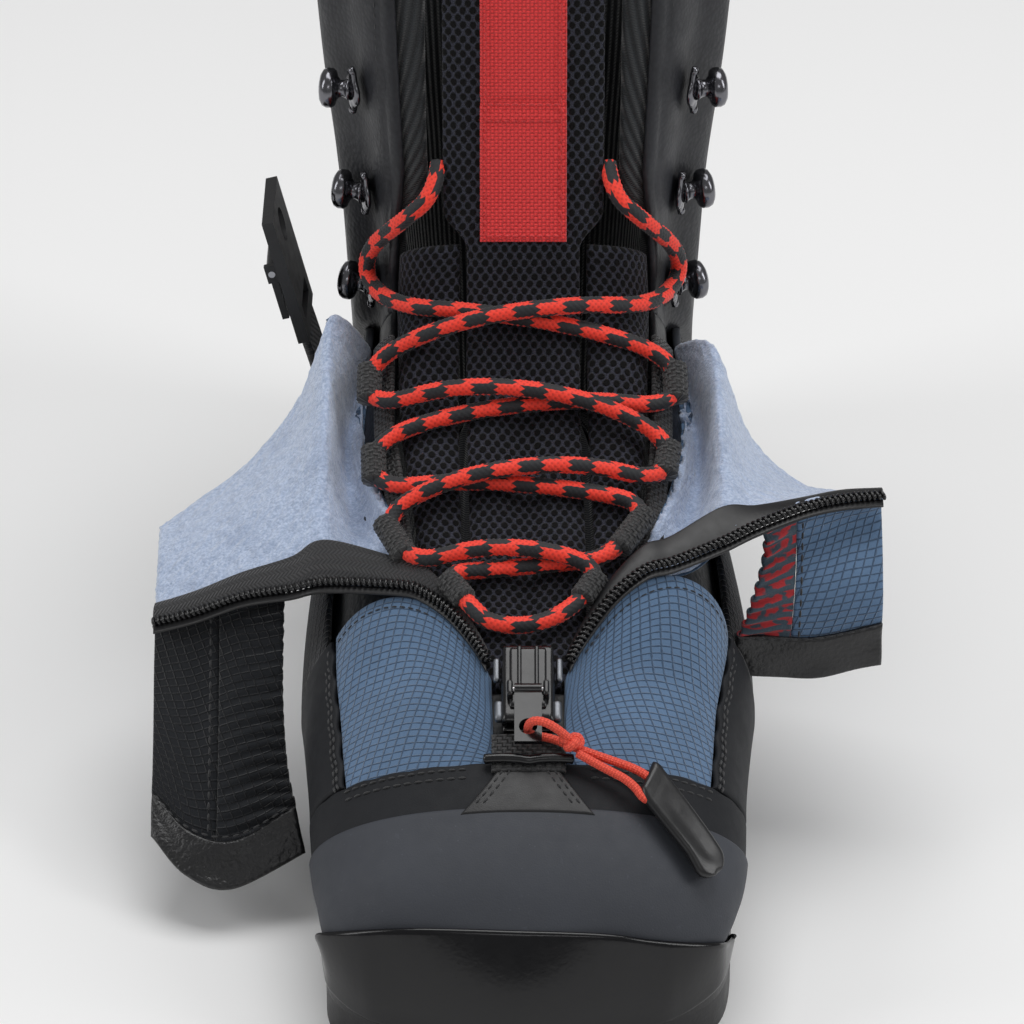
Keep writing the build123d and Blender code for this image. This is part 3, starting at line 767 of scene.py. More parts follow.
COIL = coated("zip_coil", (0.012, 0.012, 0.013), 0.20, 0.9, 0.02)
SLIDER_PAINT = coated("slider_enamel", (0.006, 0.006, 0.007), 0.20, 0.8, 0.02)
SILVER = metal("worn_stop", (0.20, 0.21, 0.23), 0.38)
STEEL = metal("bar_steel", (0.45, 0.45, 0.46), 0.28)
GRIP = coated("grip_rubber", (0.010, 0.010, 0.011), 0.34, 0.6, 0.03)
PLASTIC = coated("buckle_plastic", (0.009, 0.009, 0.010), 0.42, 0.6, 0.06)
BOARD = coated("board_fibre", (0.16, 0.13, 0.09), 0.85, 0.5, 0.15)
THREAD = woven("black_thread", (0.020, 0.021, 0.024), (0.006, 0.006, 0.007), 0.5, 0.5, 0.55)
THREAD_BLUE = woven("blue_thread", (0.012, 0.02, 0.035), (0.004, 0.006, 0.01), 0.5, 0.5, 0.6)
THREAD_RED = woven("red_thread", (0.80, 0.035, 0.040), (0.4, 0.01, 0.01), 0.5, 0.5, 0.6)


# ---- cords ----
def centre_line(name, route):
    """Points in millimetres along the smooth curve that has the route as its control points."""
    curve = bpy.data.curves.new(name, "CURVE")
    curve.dimensions = "3D"
    curve.resolution_u = 16
    spline = curve.splines.new("NURBS")
    spline.points.add(len(route) - 1)
    for point, p in zip(spline.points, route):
        point.co = (p[0] * MM, p[1] * MM, p[2] * MM, 1.0)
    spline.order_u = 3
    spline.use_endpoint_u = True
    obj = bpy.data.objects.new(name, curve)
    bpy.context.scene.collection.objects.link(obj)
    bpy.context.view_layer.update()
    mesh = bpy.data.meshes.new_from_object(obj)
    line = np.array([v.co[:] for v in mesh.vertices]) / MM
    bpy.data.objects.remove(obj)
    bpy.data.meshes.remove(mesh)
    return line


def loop_end(end, side):
    """Distance from the middle and station of one end of a lace loop."""
    return end[0 if side < 0 else 1], end[2]


def lace_half(side, height):
    """Route of one end: from where it is tucked in, round the lowest hook and down to the last loop."""
    points = [over(side * 21.5, 9.15, -5.0), over(side * 22.5, 8.78, 0.5), over(side * 30.0, 8.35, 2.2)]
    x, s = HOOKS[0]
    hook = surface_frame(side * x, s, HOOK_LACE)
    points += list(local(hook, [(4.8, -side * 5.0, 0.0), (-4.8, -side * 5.0, 0.0)]))
    x0, s0 = 32.0, 6.8
    points.append(over(side * x0, s0, LACE_LOW + 0.6))
    for top, bottom in LOOPS:
        points.append(over(side * 0.4 * x0, s0 + (top[2] - s0) * 0.3, height))
        side = -side
        x1, s1 = loop_end(top, side)
        points.append(over(side * 0.4 * x1, s0 + (s1 - s0) * 0.7, height))
        points.append(over(side * x1, s1, EYELET_LACE))
        x0, s0 = loop_end(bottom, side)
        points.append(over(side * x0, s0, EYELET_LACE))
    return points


def lace_route():
    bar = [over(-9.0, 3.14, LACE_LOW + 0.5), over(2.5, 3.13, LACE_LOW + 0.5)]
    return lace_half(-1, LACE_LOW) + bar + lace_half(1, LACE_HIGH)[::-1]


CORD_ROUTE = (
    (11.8, -109.2, 67.2), (7.2, -109.3, 72.4), (1.6, -107.9, 73.2), (0.4, -103.9, 66.0),
    (6.4, -105.0, 65.8), (11.0, -108.2, 65.6), (18.6, -109.8, 63.4), (29.2, -113.0, 61.2),
    (32.9, -117.4, 57.9), (29.1, -120.6, 57.5), (25.8, -116.2, 60.5), (18.8, -113.0, 62.6),
    (12.8, -110.8, 65.2),
)


def braid(pitch, strands, height):
    """Staggered bumps of a braid's crossing strands."""
    return lambda angle, at: height * np.cos(strands * angle) * np.cos(math.pi * at / pitch)


lace_line, lace_at = resample(centre_line("lace_route", lace_route()), 0.375)
points, faces, _ = tube(lace_line, lace_at, LACE_D / 2 - 0.1, 32, braid(0.75, 8, 0.16))
_, _, uv = tube(lace_line, lace_at, LACE_D / 2, 32)
lace = piece("lace_braided", points, faces, LACE, slot="lace", replaces=["lace"], loop_uv=uv)

pull_line, pull_at = resample(centre_line("pull_route", CORD_ROUTE), 0.3)
points, faces, _ = tube(pull_line, pull_at, CORD_D / 2 - 0.04, 16, braid(0.6, 5, 0.06))
_, _, uv = tube(pull_line, pull_at, CORD_D / 2, 16)
pull_cord = piece("pull_cord_braided", points, faces, CORD_BRAID, body="zip_pull", slot="cord_orange",
                  replaces=["pull_cord"], loop_uv=uv)

KNOT = np.array((11.4, -109.0, 67.2))
turn = np.linspace(0, 2 * math.pi, 120)
trefoil = np.stack([np.sin(turn) + 2 * np.sin(2 * turn), np.cos(turn) - 2 * np.cos(2 * turn),
                    -1.1 * np.sin(3 * turn)], -1)
knot_line, knot_at = resample(KNOT + trefoil * (0.78, 0.62, 0.7), 0.35)
points, faces, uv = tube(knot_line, knot_at, 1.05, 14, braid(0.6, 5, 0.05))
knot = piece("pull_cord_knot", points, faces, CORD_BRAID, body="zip_pull", slot="cord_orange",
             replaces=["pull_knot"], loop_uv=uv)


def grip_coordinates(u, v):
    """Paddle that lies down the rand: narrow at the cord, rounded at its far end."""
    end = np.clip((u - 0.86) / 0.14, 0, 1)
    start = np.clip((0.10 - u) / 0.10, 0, 1)
    width = (7.0 + 1.9 * u) * np.sqrt(np.maximum(1 - end ** 2.2, 0.04)) * (1 - 0.25 * start ** 2)
    across = (v - 0.5) * width
    s = 2.10 - 0.62 * u + across * 0.042
    return s, girth_at(s, 27.0 + 17.0 * u + across * 0.53, -3.4), 0.0 * u


def grip_relief(u, v, rows, columns):
    ends = np.clip((u - 0.2) / 0.2, 0, 1) * np.clip((0.93 - u) / 0.1, 0, 1)
    hollow = -0.4 * np.exp(-((v - 0.5) / 0.26) ** 2) * ends
    return hollow + 0.5 * np.clip(1 - u / 0.12, 0, 1)


grip = layer("pull_grip_moulded", grip_coordinates, -6.2, GRIP, (30, 8), thickness=3.0, count=(40, 16),
             roll=1.3, relief=grip_relief, body="zip_pull", slot="grip_rubber", replaces=["pull_grip"])


# ---- vamp and gaiter panels ----
def rand_edge(g):
    return 1.9 + 0.75 * g * g


def frame_edge(g):
    return 2.27 + 0.7 * g * g


def zip_edge(g):
    return 3.66 - 0.92 * np.exp(-(np.abs(g) - 0.04) / 0.09)


# Height of the zip edge above the form, and each side's share of it. The CAD has the whole height on both
# sides; the left share was judged.
ZIP_RISE = 9.0
RISE = {-1: 0.22, 1: 1.0}


def zip_rise(s):
    t = np.clip((s - 2.95) / 0.6, 0, 1)
    return ZIP_RISE * t * t * (3 - 2 * t)


def fixed(value):
    return lambda g: value + 0.0 * g


threads, blue_threads = Heap(), Heap()

layer("toe_rand_moulded", slanted(fixed(0.30), lambda g: rand_edge(g) + 0.02, -0.985, 0.985), -0.6, RAND,
      (80, 190), thickness=2.6, count=(60, 110), roll=1.4, slot="rand_rubber", replaces=["toe_rand"],
      relief=uneven(0.25, 14, 17, 1))


def toe_bumper():
    """Glossy cap that wraps the front of the sole and rises over the toe."""
    sides = [[form(s, side, -3.2) for s in (1.9, 1.6, 1.35, 1.0, 0.8)] for side in (-1, 1)]
    rim = smooth_line(sides[0] + [np.array((-2.0, -149.9, 20.0))] + sides[1][::-1], 12)
    rim, _ = resample(rim, 1.0)
    low, high = rim.copy(), rim.copy()
    w = np.linspace(-1, 1, len(rim))
    out = unit(np.stack([rim[:, 0] / 50 * np.abs(w) ** 0.8, -(1.05 - np.abs(w) ** 2), 0 * w], -1))
    low[:, 2] = 20.0 - 12.5 * np.sqrt(np.maximum(1 - w ** 2, 0))
    high[:, 2] = 20.0
    key = np.array([-1.0, -0.8, -0.55, -0.25, 0.25, 0.55, 0.8, 1.0])
    reach = np.array([1.85, 1.42, 0.92, 0.64, 0.60, 0.80, 1.25, 1.85])
    top = smooth_line(form(reach, key * 0.985, -2.9), 40)
    top, _ = resample(top, 1.0)

    def place(u, v):
        def take(line):
            at = np.linspace(0, 1, len(line))
            return np.stack([np.interp(v, at, line[:, k]) for k in range(3)], -1)
        lower, middle, upper, away = take(low), take(high), take(top), take(out)
        middle = middle + away * 1.6
        lower = lower + away * 1.2
        a, b, c = (1 - u) ** 2, 2 * u * (1 - u), u ** 2
        bulge = middle * 2 - (lower + upper) / 2
        return lower * a[..., None] + bulge * b[..., None] + upper * c[..., None]
    return place


panel("toe_cap_moulded", toe_bumper(), (0, -1, 0.3), GLOSS_RUBBER, (34, 190), thickness=1.8, count=(40, 150),
      roll=1.2, relief=uneven(0.12, 9, 20, 5),
      slot="sole_rubber", replaces=["toe_cap"])


OVERLAY_START = 0.46
OVERLAY_WIDTH = 0.535


def overlay_rise(s, v, side):
    """The overlay follows the softshell's raised corner at its inner edge."""
    return zip_rise(s) * RISE[side] * 0.25 * np.clip(1 - v * 1.6, 0, 1) ** 2


def overlay_coordinates(side):
    """From the frame's edge back to the gaiter's seam, with a slightly wavy inner edge."""
    def coordinates(u, v):
        g = OVERLAY_START + OVERLAY_WIDTH * v
        start = frame_edge(g)
        wave = (1 - v) ** 6 * 0.006 * np.sin(u * 34)
        return (start + 0.01 + (3.6 - start) * u, side * (g + wave),
                overlay_rise(start * (1 - u) + 3.6 * u, v, side))
    return coordinates


def overlay_relief(u, v, rows, columns):
    return 2.9 * u ** 2.2 * np.sin(math.pi * v) ** 0.8 + 0.18 * ripple(rows / 9, columns / 12, 2)


layer("vamp_front_panel",
      slanted(lambda g: rand_edge(g) - 0.02, lambda g: frame_edge(g) + 0.004 * np.sin(g * 60), -0.995, 0.995),
      0.0, OVERLAY, (18, 190), thickness=2.0, count=(22, 150), roll=1.0, relief=uneven(0.18, 9, 12, 2),
      slot="overlay", replaces=["vamp_front"])
for name, side in SIDES:
    def shell_relief(u, v, rows, columns):
        waves = 0.55 * np.sin(columns / 7.5 + 1.3 * side + rows / 30)
        folds = waves * np.sin(math.pi * v) * np.sin(math.pi * u)
        return folds + 0.3 * ripple(rows / 10, columns / 9, 3 + side)
    layer("softshell_vamp_" + name,
          slanted(lambda g: frame_edge(g) - 0.03, lambda g: zip_edge(g) - 0.012, side * 0.05, side * 0.462,
                  lambda s: zip_rise(s) * RISE[side], 0.75),
          0.9, SOFTSHELL, (55, 48), thickness=1.6, count=(60, 56), roll=0.9, relief=shell_relief,
          slot="softshell", replaces=["softshell_panel_" + name])
    g = np.linspace(0.085, 0.445, 80) * side
    s = zip_edge(g) - 0.10
    lift = zip_rise(s) * RISE[side] * (1 - 0.75 * ((np.abs(g) - 0.05) / 0.41) ** 2.5)
    path = form(s, g, 0.75 - lift)
    stitch(blue_threads, path, unit(path - form(s, g, 1.75 - lift)), length=1.5, gap=0.8, width=0.45,
           height=0.2)
    s = np.linspace(2.42, 3.54, 90)
    for inset in (0.475, 0.490):
        lift = overlay_rise(s, (inset - OVERLAY_START) / OVERLAY_WIDTH, side)
        wavy = side * (inset + 0.004 * np.sin(s * 26))
        stitch_form(threads, s, wavy, -0.15 - lift, length=1.7, gap=0.8, width=0.6)
    g = np.linspace(0.10, 0.455, 70) * side
    for back in (0.045, 0.105):
        stitch_form(threads, frame_edge(g) - back, g, -0.15, length=1.7, gap=0.8, width=0.6)
    layer("vamp_overlay_" + name, overlay_coordinates(side), 0.0, OVERLAY, (50, 60), thickness=2.0,
          count=(60, 44), roll=0.9, relief=overlay_relief, slot="overlay",
          replaces=["vamp_overlays"] if side < 0 else [])


SIDE_BULGE = 4.5    # the gaiter sides stand out this far beyond the CAD, judged


def heel_relief(u, v, rows, columns):
    return 0.5 * ripple(rows / 22, columns / 16, 6) * np.sin(math.pi * v)


def side_relief(u, v, rows, columns):
    full = SIDE_BULGE * np.sin(math.pi * np.clip(0.22 + u * 0.8, 0, 1)) * np.sin(math.pi * v) ** 0.8
    return full + 0.5 * ripple(rows / 22, columns / 16, 6) * np.sin(math.pi * v)


for name, side in SIDES:
    layer("gaiter_side_" + name, strip(3.6, 6.5, at_girth(side * 0.5), at_girth(side * 0.998), 0.0), 0.0,
          SOFTSHELL_BLACK_AND_SHADE, (150, 70), thickness=2.0, count=(60, 40), roll=1.2, relief=side_relief,
          slot="overlay", replaces=["gaiter_sides"] if side < 0 else [])
    layer("heel_overlay_" + name, strip(6.46, 8.03, at_girth(side * 0.5), at_girth(side * 0.99), -1.0), -1.0,
          RAND, (100, 80), thickness=2.2, count=(44, 44), roll=1.3, relief=heel_relief,
          slot="rand_rubber", replaces=["heel_overlays"] if side < 0 else [])
    stitch_form(threads, np.linspace(6.56, 7.94, 60), side * 0.525, -1.05)
    stitch_form(threads, 6.56, side * np.linspace(0.53, 0.96, 50), -1.05)
    stitch_form(threads, 3.67, side * np.linspace(0.53, 0.97, 50), -0.05)
layer("gaiter_heel_panel", strip(8.0, 9.0, at_girth(0.5), at_girth(1.5), 0.0), 0.0, SOFTSHELL_BLACK_AND_SHADE, (52, 190),
      thickness=2.0, count=(30, 70), roll=1.2, relief=heel_relief, slot="overlay", replaces=["gaiter_heel"])
wrap = np.linspace(0.52, 1.48, 120)
for s in (8.92, 8.08):
    stitch_form(threads, s, wrap, -0.1)


def patch_edge(side, width, slope):
    return lambda s, depth: girth_at(s, side * (width - slope * (s - 1.86)), depth)


layer("toe_patch_panel", strip(1.85, 2.25, patch_edge(-1, 16, 25), patch_edge(1, 16, 25), -1.0), -1.0,
      GLOSS_FABRIC, (10, 30), thickness=1.0, count=(14, 30), roll=0.6, slot="overlay", replaces=["toe_patch"])
for side in (-1, 1):
    for inset in (1.6, 3.4):
        s = np.linspace(1.93, 2.2, 12)
        stitch_form(threads, s, girth_at(s, side * (16 - 25 * (s - 1.86) - inset), -1.0), -1.05,
                    length=1.5, gap=0.8, width=0.5)
layer("anchor_tab_webbing", strip(2.17, 2.42, at_x(9.0, -1), at_x(9.0, 1), -1.7), -1.75, BLACK_WEB, (9, 18),
      thickness=1.5, count=(14, 26), roll=0.7, slot="overlay", replaces=["anchor_tab"])
bar_points = [over(x, 2.2 + 0.012 * abs(x) ** 0.5, 3.0 - 0.006 * x * x) for x in np.linspace(-10.6, 10.6, 24)]
bar_line, bar_at = resample(bar_points, 0.5)
points, faces, uv = tube(bar_line, bar_at, 1.25, 16)
piece("anchor_bar_rounded", points, faces, SLIDER_PAINT, loop_uv=uv, slot="slider_metal",
      replaces=["anchor_bar"])


# ---- boot inside the gaiter ----
layer("inner_vamp_panel", strip(1.05, 2.78, at_girth(-0.995), at_girth(0.995), LEATHER), LEATHER,
      QUARTER_LEATHER, (50, 120), thickness=1.9, count=(20, 40), slot="leather", replaces=["inner_vamp"])
layer("toe_lining_panel", strip(1.1, 2.8, at_girth(-0.995), at_girth(0.995), LINING), LINING, LINING_KNIT,
      (50, 120), thickness=2.6, count=(20, 40), slot="lining_knit", replaces=["toe_lining"])


def footbed_place(u, v):
    s = 1.1 + 5.75 * u
    left, right = form(s, -1.0, 9.6), form(s, 1.0, 9.6)
    points = left + (right - left) * v[..., None]
    rim = 2.6 * (2 * np.abs(v - 0.5)) ** 4 + 3.0 * np.clip((u - 0.8) / 0.2, 0, 1) * (2 * np.abs(v - 0.5)) ** 3
    points[..., 2] = SOLE_TOP + 6.2 + rim
    return points


footbed = panel("footbed_foam", footbed_place, (0, 0, 1), LINING_KNIT, (250, 80), thickness=3.8,
                count=(60, 30), roll=2.0, slot="lining_knit", replaces=["footbed"])

CUFF_BULGE = 7.0            # the cuff sides stand out this far beyond the CAD, judged
CUFF_BULGE_START = 18.0     # from the cuff's front edge, clear of the hooks
for name, side in SIDES:
    throat = at_x(THROAT, side)
    layer("quarter_leather_" + name, strip(2.8, ANKLE - SEAM, throat, at_girth(side * 0.997), LEATHER),
          LEATHER, QUARTER_LEATHER, (190, 90), thickness=2.0, count=(70, 36), roll=1.0, slot="leather",
          replaces=["quarter_" + name])
    layer("lining_knit_" + name, strip(2.8, ANKLE + 0.24, throat, at_girth(side * 0.997), LINING), LINING,
          LINING_KNIT, (190, 90), thickness=2.8, count=(60, 30), roll=1.2, slot="lining_knit",
          replaces=["lining_" + name])

    def cuff_relief(u, v, rows, columns):
        roll_edge = 0.5 * np.exp(-((columns - 2.2) / 1.5) ** 2)
        groove = -0.35 * np.exp(-((columns - 5.2) / 0.6) ** 2)
        dents = 0.5 * ripple(rows / 16, columns / 18, 9 + side) * np.clip(columns / 12, 0, 1)
        out = np.clip((columns - CUFF_BULGE_START) / 15.0, 0, 1) * np.clip((1 - v) * 2.2, 0, 1)
        ends = np.clip(rows / 14.0, 0, 1) * np.clip((rows[-1] - rows) / 16.0, 0, 1)
        full = CUFF_BULGE * out * out * (3 - 2 * out) * ends * ends * (3 - 2 * ends)
        return roll_edge + groove + dents + full
    layer("cuff_leather_" + name, strip(ANKLE - 0.02, CUFF_TOP, throat, at_girth(side * 1.0), LEATHER),
          LEATHER, CUFF_LEATHER, (115, 110), thickness=2.2, count=(90, 60), roll=1.3, relief=cuff_relief,
          slot="leather", replaces=["cuff_" + name])
    s = np.linspace(ANKLE + 0.05, CUFF_TOP - 0.1, 120)
    stitch_form(threads, s, girth_at(s, side * (between(THROAT, s) + 5.2), LEATHER), LEATHER + 0.25,
                length=2.0, gap=0.8, width=0.6)
    s = np.linspace(3.8, 6.36, 100)
    layer("eyestay_webbing_" + name, strip(3.74, 6.42, throat, at_x(THROAT, side, 5.0), 0.5), 0.45, BLACK_WEB,
          (80, 5), thickness=1.5, count=(90, 10), roll=0.6, slot="webbing_black",
          replaces=["eyestay_" + name])
    stitch_form(threads, s, girth_at(s, side * (between(THROAT, s) + 1.3), 0.5), 0.5,
                length=1.6, gap=0.8, width=0.5)

for side in (-1, 1):
    stitch_form(threads, 7.06, side * (0.46 + 0.53 * np.linspace(0, 1, 60)), LEATHER - 0.1)


def collar_edge(s, depth):
    return girth_at(s, between(COLLAR_EDGE, s), depth)


def collar_relief(u, v, rows, columns):
    near = np.minimum(columns, columns[:, -1:] - columns)
    full = 1.5 * np.exp(-((near - 5.0) / 4.5) ** 2) * np.clip(rows / 12, 0, 1)
    return -0.9 + full + 0.25 * ripple(rows / 14, columns / 16, 11)


def far_collar_edge(s, depth):
    """The other edge, reached round the back of the leg."""
    return 2 - collar_edge(s, depth)


collar = layer("collar_padding", strip(7.05, COLLAR_TOP, collar_edge, far_collar_edge, LINING), LINING,
               KNIT, (110, 300), thickness=3.0, count=(70, 320), roll=1.5, relief=collar_relief,
               slot="lining_knit", replaces=["collar"])


# ---- tongue ----
def puff(v, channels, height, power=2.2):
    """Rounded quilting between sewn channels, given as positions from 0 to 1."""
    total = 0.0 * v
    for a, b in zip(channels, channels[1:]):
        inside = (v >= a) & (v <= b)
        middle, half = (a + b) / 2, (b - a) / 2
        total = np.where(inside, height * (1 - np.abs((v - middle) / half) ** power), total)
    return total


def centre_relief(u, v, rows, columns):
    """One broad pad above, parted by a middle seam lower down."""
    s = 2.8 + (TONGUE_TOP - 2.8) * u
    whole = puff(v, (0.0, 1.0), 2.3, 3.0)
    split = puff(v, (0.0, 0.5, 1.0), 2.1, 2.6)
    share = np.clip((6.0 - s) / 1.3, 0, 1)
    share = share * share * (3 - 2 * share)
    dents = 0.35 * ripple(rows / 7, columns / 8, 12) + 0.25 * np.sin(rows / 5.5) * np.clip((8 - s) / 2, 0, 1)
    return -1.0 + whole * (1 - share) + split * share + dents * np.sin(math.pi * v)


def pad_relief(u, v, rows, columns):
    dents = 0.4 * ripple(rows / 6, columns / 6, 14) + 0.3 * np.sin(rows / 6 + 1.0)
    return -1.0 + puff(v, (0.0, 1.0), 2.4, 2.4) + dents * np.sin(math.pi * v)


PAD_TOP = 21.5    # half width of the centre pad above the side pads, judged and wider than the CAD's


def centre_edge(side):
    """Narrow between the side pads and wider above them."""
    def edge(s, depth):
        low = np.minimum(15.4, between(THROAT, s) - 1)
        t = np.clip((s - 7.8) / 0.7, 0, 1)
        return girth_at(s, side * (low + (PAD_TOP - low) * t * t * (3 - 2 * t)), depth)
    return edge


centre = layer("tongue_centre_pad", strip(2.8, TONGUE_TOP, centre_edge(-1), centre_edge(1), TONGUE),
               TONGUE, MESH, (275, 36), thickness=4.6, count=(250, 60), roll=1.6, relief=centre_relief,
               body=None, slot="mesh", replaces=["tongue_centre", "tongue_top"])
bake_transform(centre)
for name, side in SIDES:
    layer("tongue_side_pad_" + name,
                    strip(3.35, 7.86, at_x(15.8, side), at_x(THROAT, side, -0.6), TONGUE), TONGUE,
                    MESH, (170, 17), thickness=4.6, count=(160, 34), roll=1.6, relief=pad_relief, slot="mesh",
                    replaces=["tongue_pads"] if side < 0 else [])


def web_relief(u, v, rows, columns):
    """Doubled at its lower end, with a cross seam above."""
    doubled = 0.5 * np.clip((34.0 - rows) / 1.2, 0, 1)
    seam = -0.35 * np.exp(-((rows - 36.0) / 0.7) ** 2)
    return doubled + seam + 0.12 * ripple(rows / 9, columns / 12, 18)


layer("tongue_red_webbing", strip(TONGUE_FOLD - 0.08, 11.62, at_x(11.0, -1), at_x(11.0, 1), 1.2), 1.2,
      RED_WEB, (84, 22), thickness=1.6, count=(120, 40), roll=0.6, relief=web_relief, body="tongue_upper",
      slot="webbing_red", replaces=["tongue_webbing"])
red_threads = Heap()
s = np.linspace(TONGUE_FOLD - 0.02, 11.55, 90)
for side in (-1, 1):
    stitch_form(red_threads, s, girth_at(s, side * 9.4, 1.2), 0.6, length=1.7, gap=0.7, width=0.5, height=0.3)
x = np.linspace(-9.4, 9.4, 20)
for row in (TONGUE_FOLD + 0.02, 9.62, 9.78):
    stitch_form(red_threads, row, girth_at(row, x, 1.2), 0.6, length=1.5, gap=0.6, width=0.5,
                height=0.3)
red_threads.done("webbing_stitching", THREAD_RED, body="tongue_upper", slot="webbing_red")


# ---- hooks and lace loops ----
def round_ring(angle):
    return 1.0 + 0.0 * angle


def lathe(profile, ring, shape):
    """Closed turned solid about z. shape gives each angle's share of the radius."""
    angle = np.linspace(0, 2 * math.pi, ring, endpoint=False)
    points, faces, rows = [], [], []
    for radius, z in profile:
        if radius == 0:
            rows.append([len(points)] * ring)
            points.append((0.0, 0.0, z))
            continue
        rows.append([len(points) + k for k in range(ring)])
        r = radius * shape(angle)
        points += list(zip(r * np.cos(angle), r * np.sin(angle), [z] * ring))
    for low, high in zip(rows, rows[1:]):
        for k in range(ring):
            j = (k + 1) % ring
            corners = (low[k], low[j], high[j], high[k])
            faces.append(tuple(dict.fromkeys(corners)))
    return np.array(points, float), faces


def pointed(angle):
    """Share of the radius of a round plate with a blunt point up and one down."""
    off = np.abs((angle + math.pi / 2) % math.pi - math.pi / 2)
    return 1.0 + 0.72 * np.exp(-(off / 0.30) ** 2)


def braced(angle, at):
    """Ribs along a sleeve of webbing and waves round it."""
    return 0.16 * np.cos(12 * angle) + 0.08 * np.cos(at * 5.2)


def add_turned(heap, axes, profile, ring, shape=round_ring, shift=0.0):
    points, faces = lathe(profile, ring, shape)
    heap.add(local(axes, points + (shift, 0, 0)), faces)


PLATE = ((0, 0.2), (3.6, 0.2), (4.3, 0.55), (4.3, 1.15), (3.9, 1.6), (2.4, 1.95), (0, 2.1))
BUTTON = ((0, 1.5), (3.2, 1.9), (2.6, 2.5), (2.2, 3.3), (2.2, 4.2), (3.0, 4.9), (4.5, 5.4), (5.1, 6.2),
          (5.15, 7.6), (4.7, 8.6), (3.5, 9.3), (1.8, 9.6), (0, 9.7))
RIVET_DOME = ((0, 0.3), (1.15, 0.6), (1.2, 1.4), (0.8, 2.0), (0, 2.25))
RIVET_REACH = 6.1
HOOK_LEAN = 26.0    # the hooks' caps lean by this many degrees, judged; the CAD's are upright
HOOK_BASE = -1.3
hooks = Heap()
for _, side in SIDES:
    for x, s in HOOKS:
        base = surface_frame(side * x, s, HOOK_BASE)
        turn = math.radians(side * HOOK_LEAN)
        lean = np.eye(4)
        lean[1:3, 1:3] = ((math.cos(turn), -math.sin(turn)), (math.sin(turn), math.cos(turn)))
        add_turned(hooks, base, PLATE, 48, pointed)
        add_turned(hooks, base @ lean, BUTTON, 40)
        for up in (-RIVET_REACH, RIVET_REACH):
            add_turned(hooks, base, RIVET_DOME, 16, shift=up)
hooks.done("lace_hooks_turned", HOOK_METAL, slot="hook_metal", replaces=["lace_hooks", "hook_rivets"])

sleeves = Heap()
for _, side in SIDES:
    for ends in LOOPS:
        a, b = (over(side * x, s, EYELET_LACE) for x, s in (loop_end(end, side) for end in ends))
        middle, along = (a + b) / 2, unit(b - a)
        reach = min(np.linalg.norm(b - a) * 0.32, 7.0)
        line, at = resample([middle - along * reach, middle, middle + along * reach], 0.35)
        sleeves.add(*tube(line, at, 3.05, 36, braced))
sleeves.done("lace_loop_webbing", BLACK_WEB, slot="webbing_black", replaces=["lace_loops"])


# ---- flaps ----
LEFT_FLAP = (
    (-49.3, (20, 113), (-15, 97), (-50, 77)), (-58, (8, 95), (-22, 88), (-50, 75)),
    (-70, (-2, 83), (-25, 79), (-47, 71)), (-82, (-6, 75), (-26, 72), (-45, 65)),
    (-93, (-12, 69), (-26, 66), (-42, 60)),
)
RIGHT_FLAP = (
    (49.3, (14, 107), (-16, 98), (-48, 84)), (58, (5, 87), (-20, 89), (-43, 86)),
    (70, (-2, 77), (-20, 83), (-38, 88)), (80, (-6, 76), (-20, 84), (-34, 89)),
    (90, (-8, 77), (-20, 84), (-30, 90)),
)
LEFT_SHELL = (
    (-60, (-49, 69), (-62, 50), (-74, 33), (-82, 22)), (-72, (-47, 65), (-62, 47), (-75, 31), (-84, 20)),
    (-84, (-45, 59), (-60, 42), (-73, 28), (-82, 20)), (-93, (-42, 54), (-56, 40), (-69, 28), (-78, 21)),
)
RIGHT_SHELL = (
    (60, (-45, 80), (-50, 72), (-51, 64), (-51, 58)), (72, (-40, 82), (-47, 74), (-50, 66), (-50, 58)),
    (90, (-32, 84), (-42, 75), (-47, 67), (-47, 59)),
)


def weights(t, count):
    """Which control points a Catmull-Rom curve uses at t from 0 to 1, and how much of each."""
    x = np.clip(t, 0, 1) * (count - 1)
    k = np.minimum(x.astype(int), count - 2)
    f = x - k
    shares = (-0.5 * f + f ** 2 - 0.5 * f ** 3, 1 - 2.5 * f ** 2 + 1.5 * f ** 3,
              0.5 * f + 2 * f ** 2 - 1.5 * f ** 3, -0.5 * f ** 2 + 0.5 * f ** 3)
    return k, shares


def net(control):
    """Smooth surface through a net of points; u runs along its second axis and v along its first."""
    c = np.asarray(control, float)
    c = np.concatenate([[2 * c[0] - c[1]], c, [2 * c[-1] - c[-2]]])
    c = np.concatenate([2 * c[:, :1] - c[:, 1:2], c, 2 * c[:, -1:] - c[:, -2:-1]], axis=1)

    def place(u, v):
        j, across = weights(v, c.shape[0] - 2)
        k, along = weights(u, c.shape[1] - 2)
        total = 0.0
        for a in range(4):
            for b in range(4):
                total = total + c[j + a, k + b] * (across[a] * along[b])[..., None]
        return total
    return place


def sections(table):
    """Net with one row for each section, whose profile starts at the front or the top."""
    return np.array([[(x, y, z) for y, z in profile] for x, *profile in table], float)


def between_lines(a, b):
    """Surface between two lines of points."""
    def place(u, v):
        out = []
        for line in (a, b):
            at = np.linspace(0, 1, len(line))
            out.append(np.stack([np.interp(u, at, line[:, k]) for k in range(3)], -1))
        return out[0] * (1 - v)[..., None] + out[1] * v[..., None]
    return place


def coil(path, wide, high, pitch):
    """Helix round a line: the coil of a zip chain."""
    line, at = resample(path, pitch / 14)
    tangent, side, other = frames(line)
    angle = (at * 2 * math.pi / pitch)[:, None]
    return line + side * wide * np.cos(angle) + other * high * np.sin(angle)


def tape_relief(u, v, rows, columns):
    return 0.5 * np.sin(math.pi * v) + 0.2 * ripple(rows / 8, v * 3, 31)


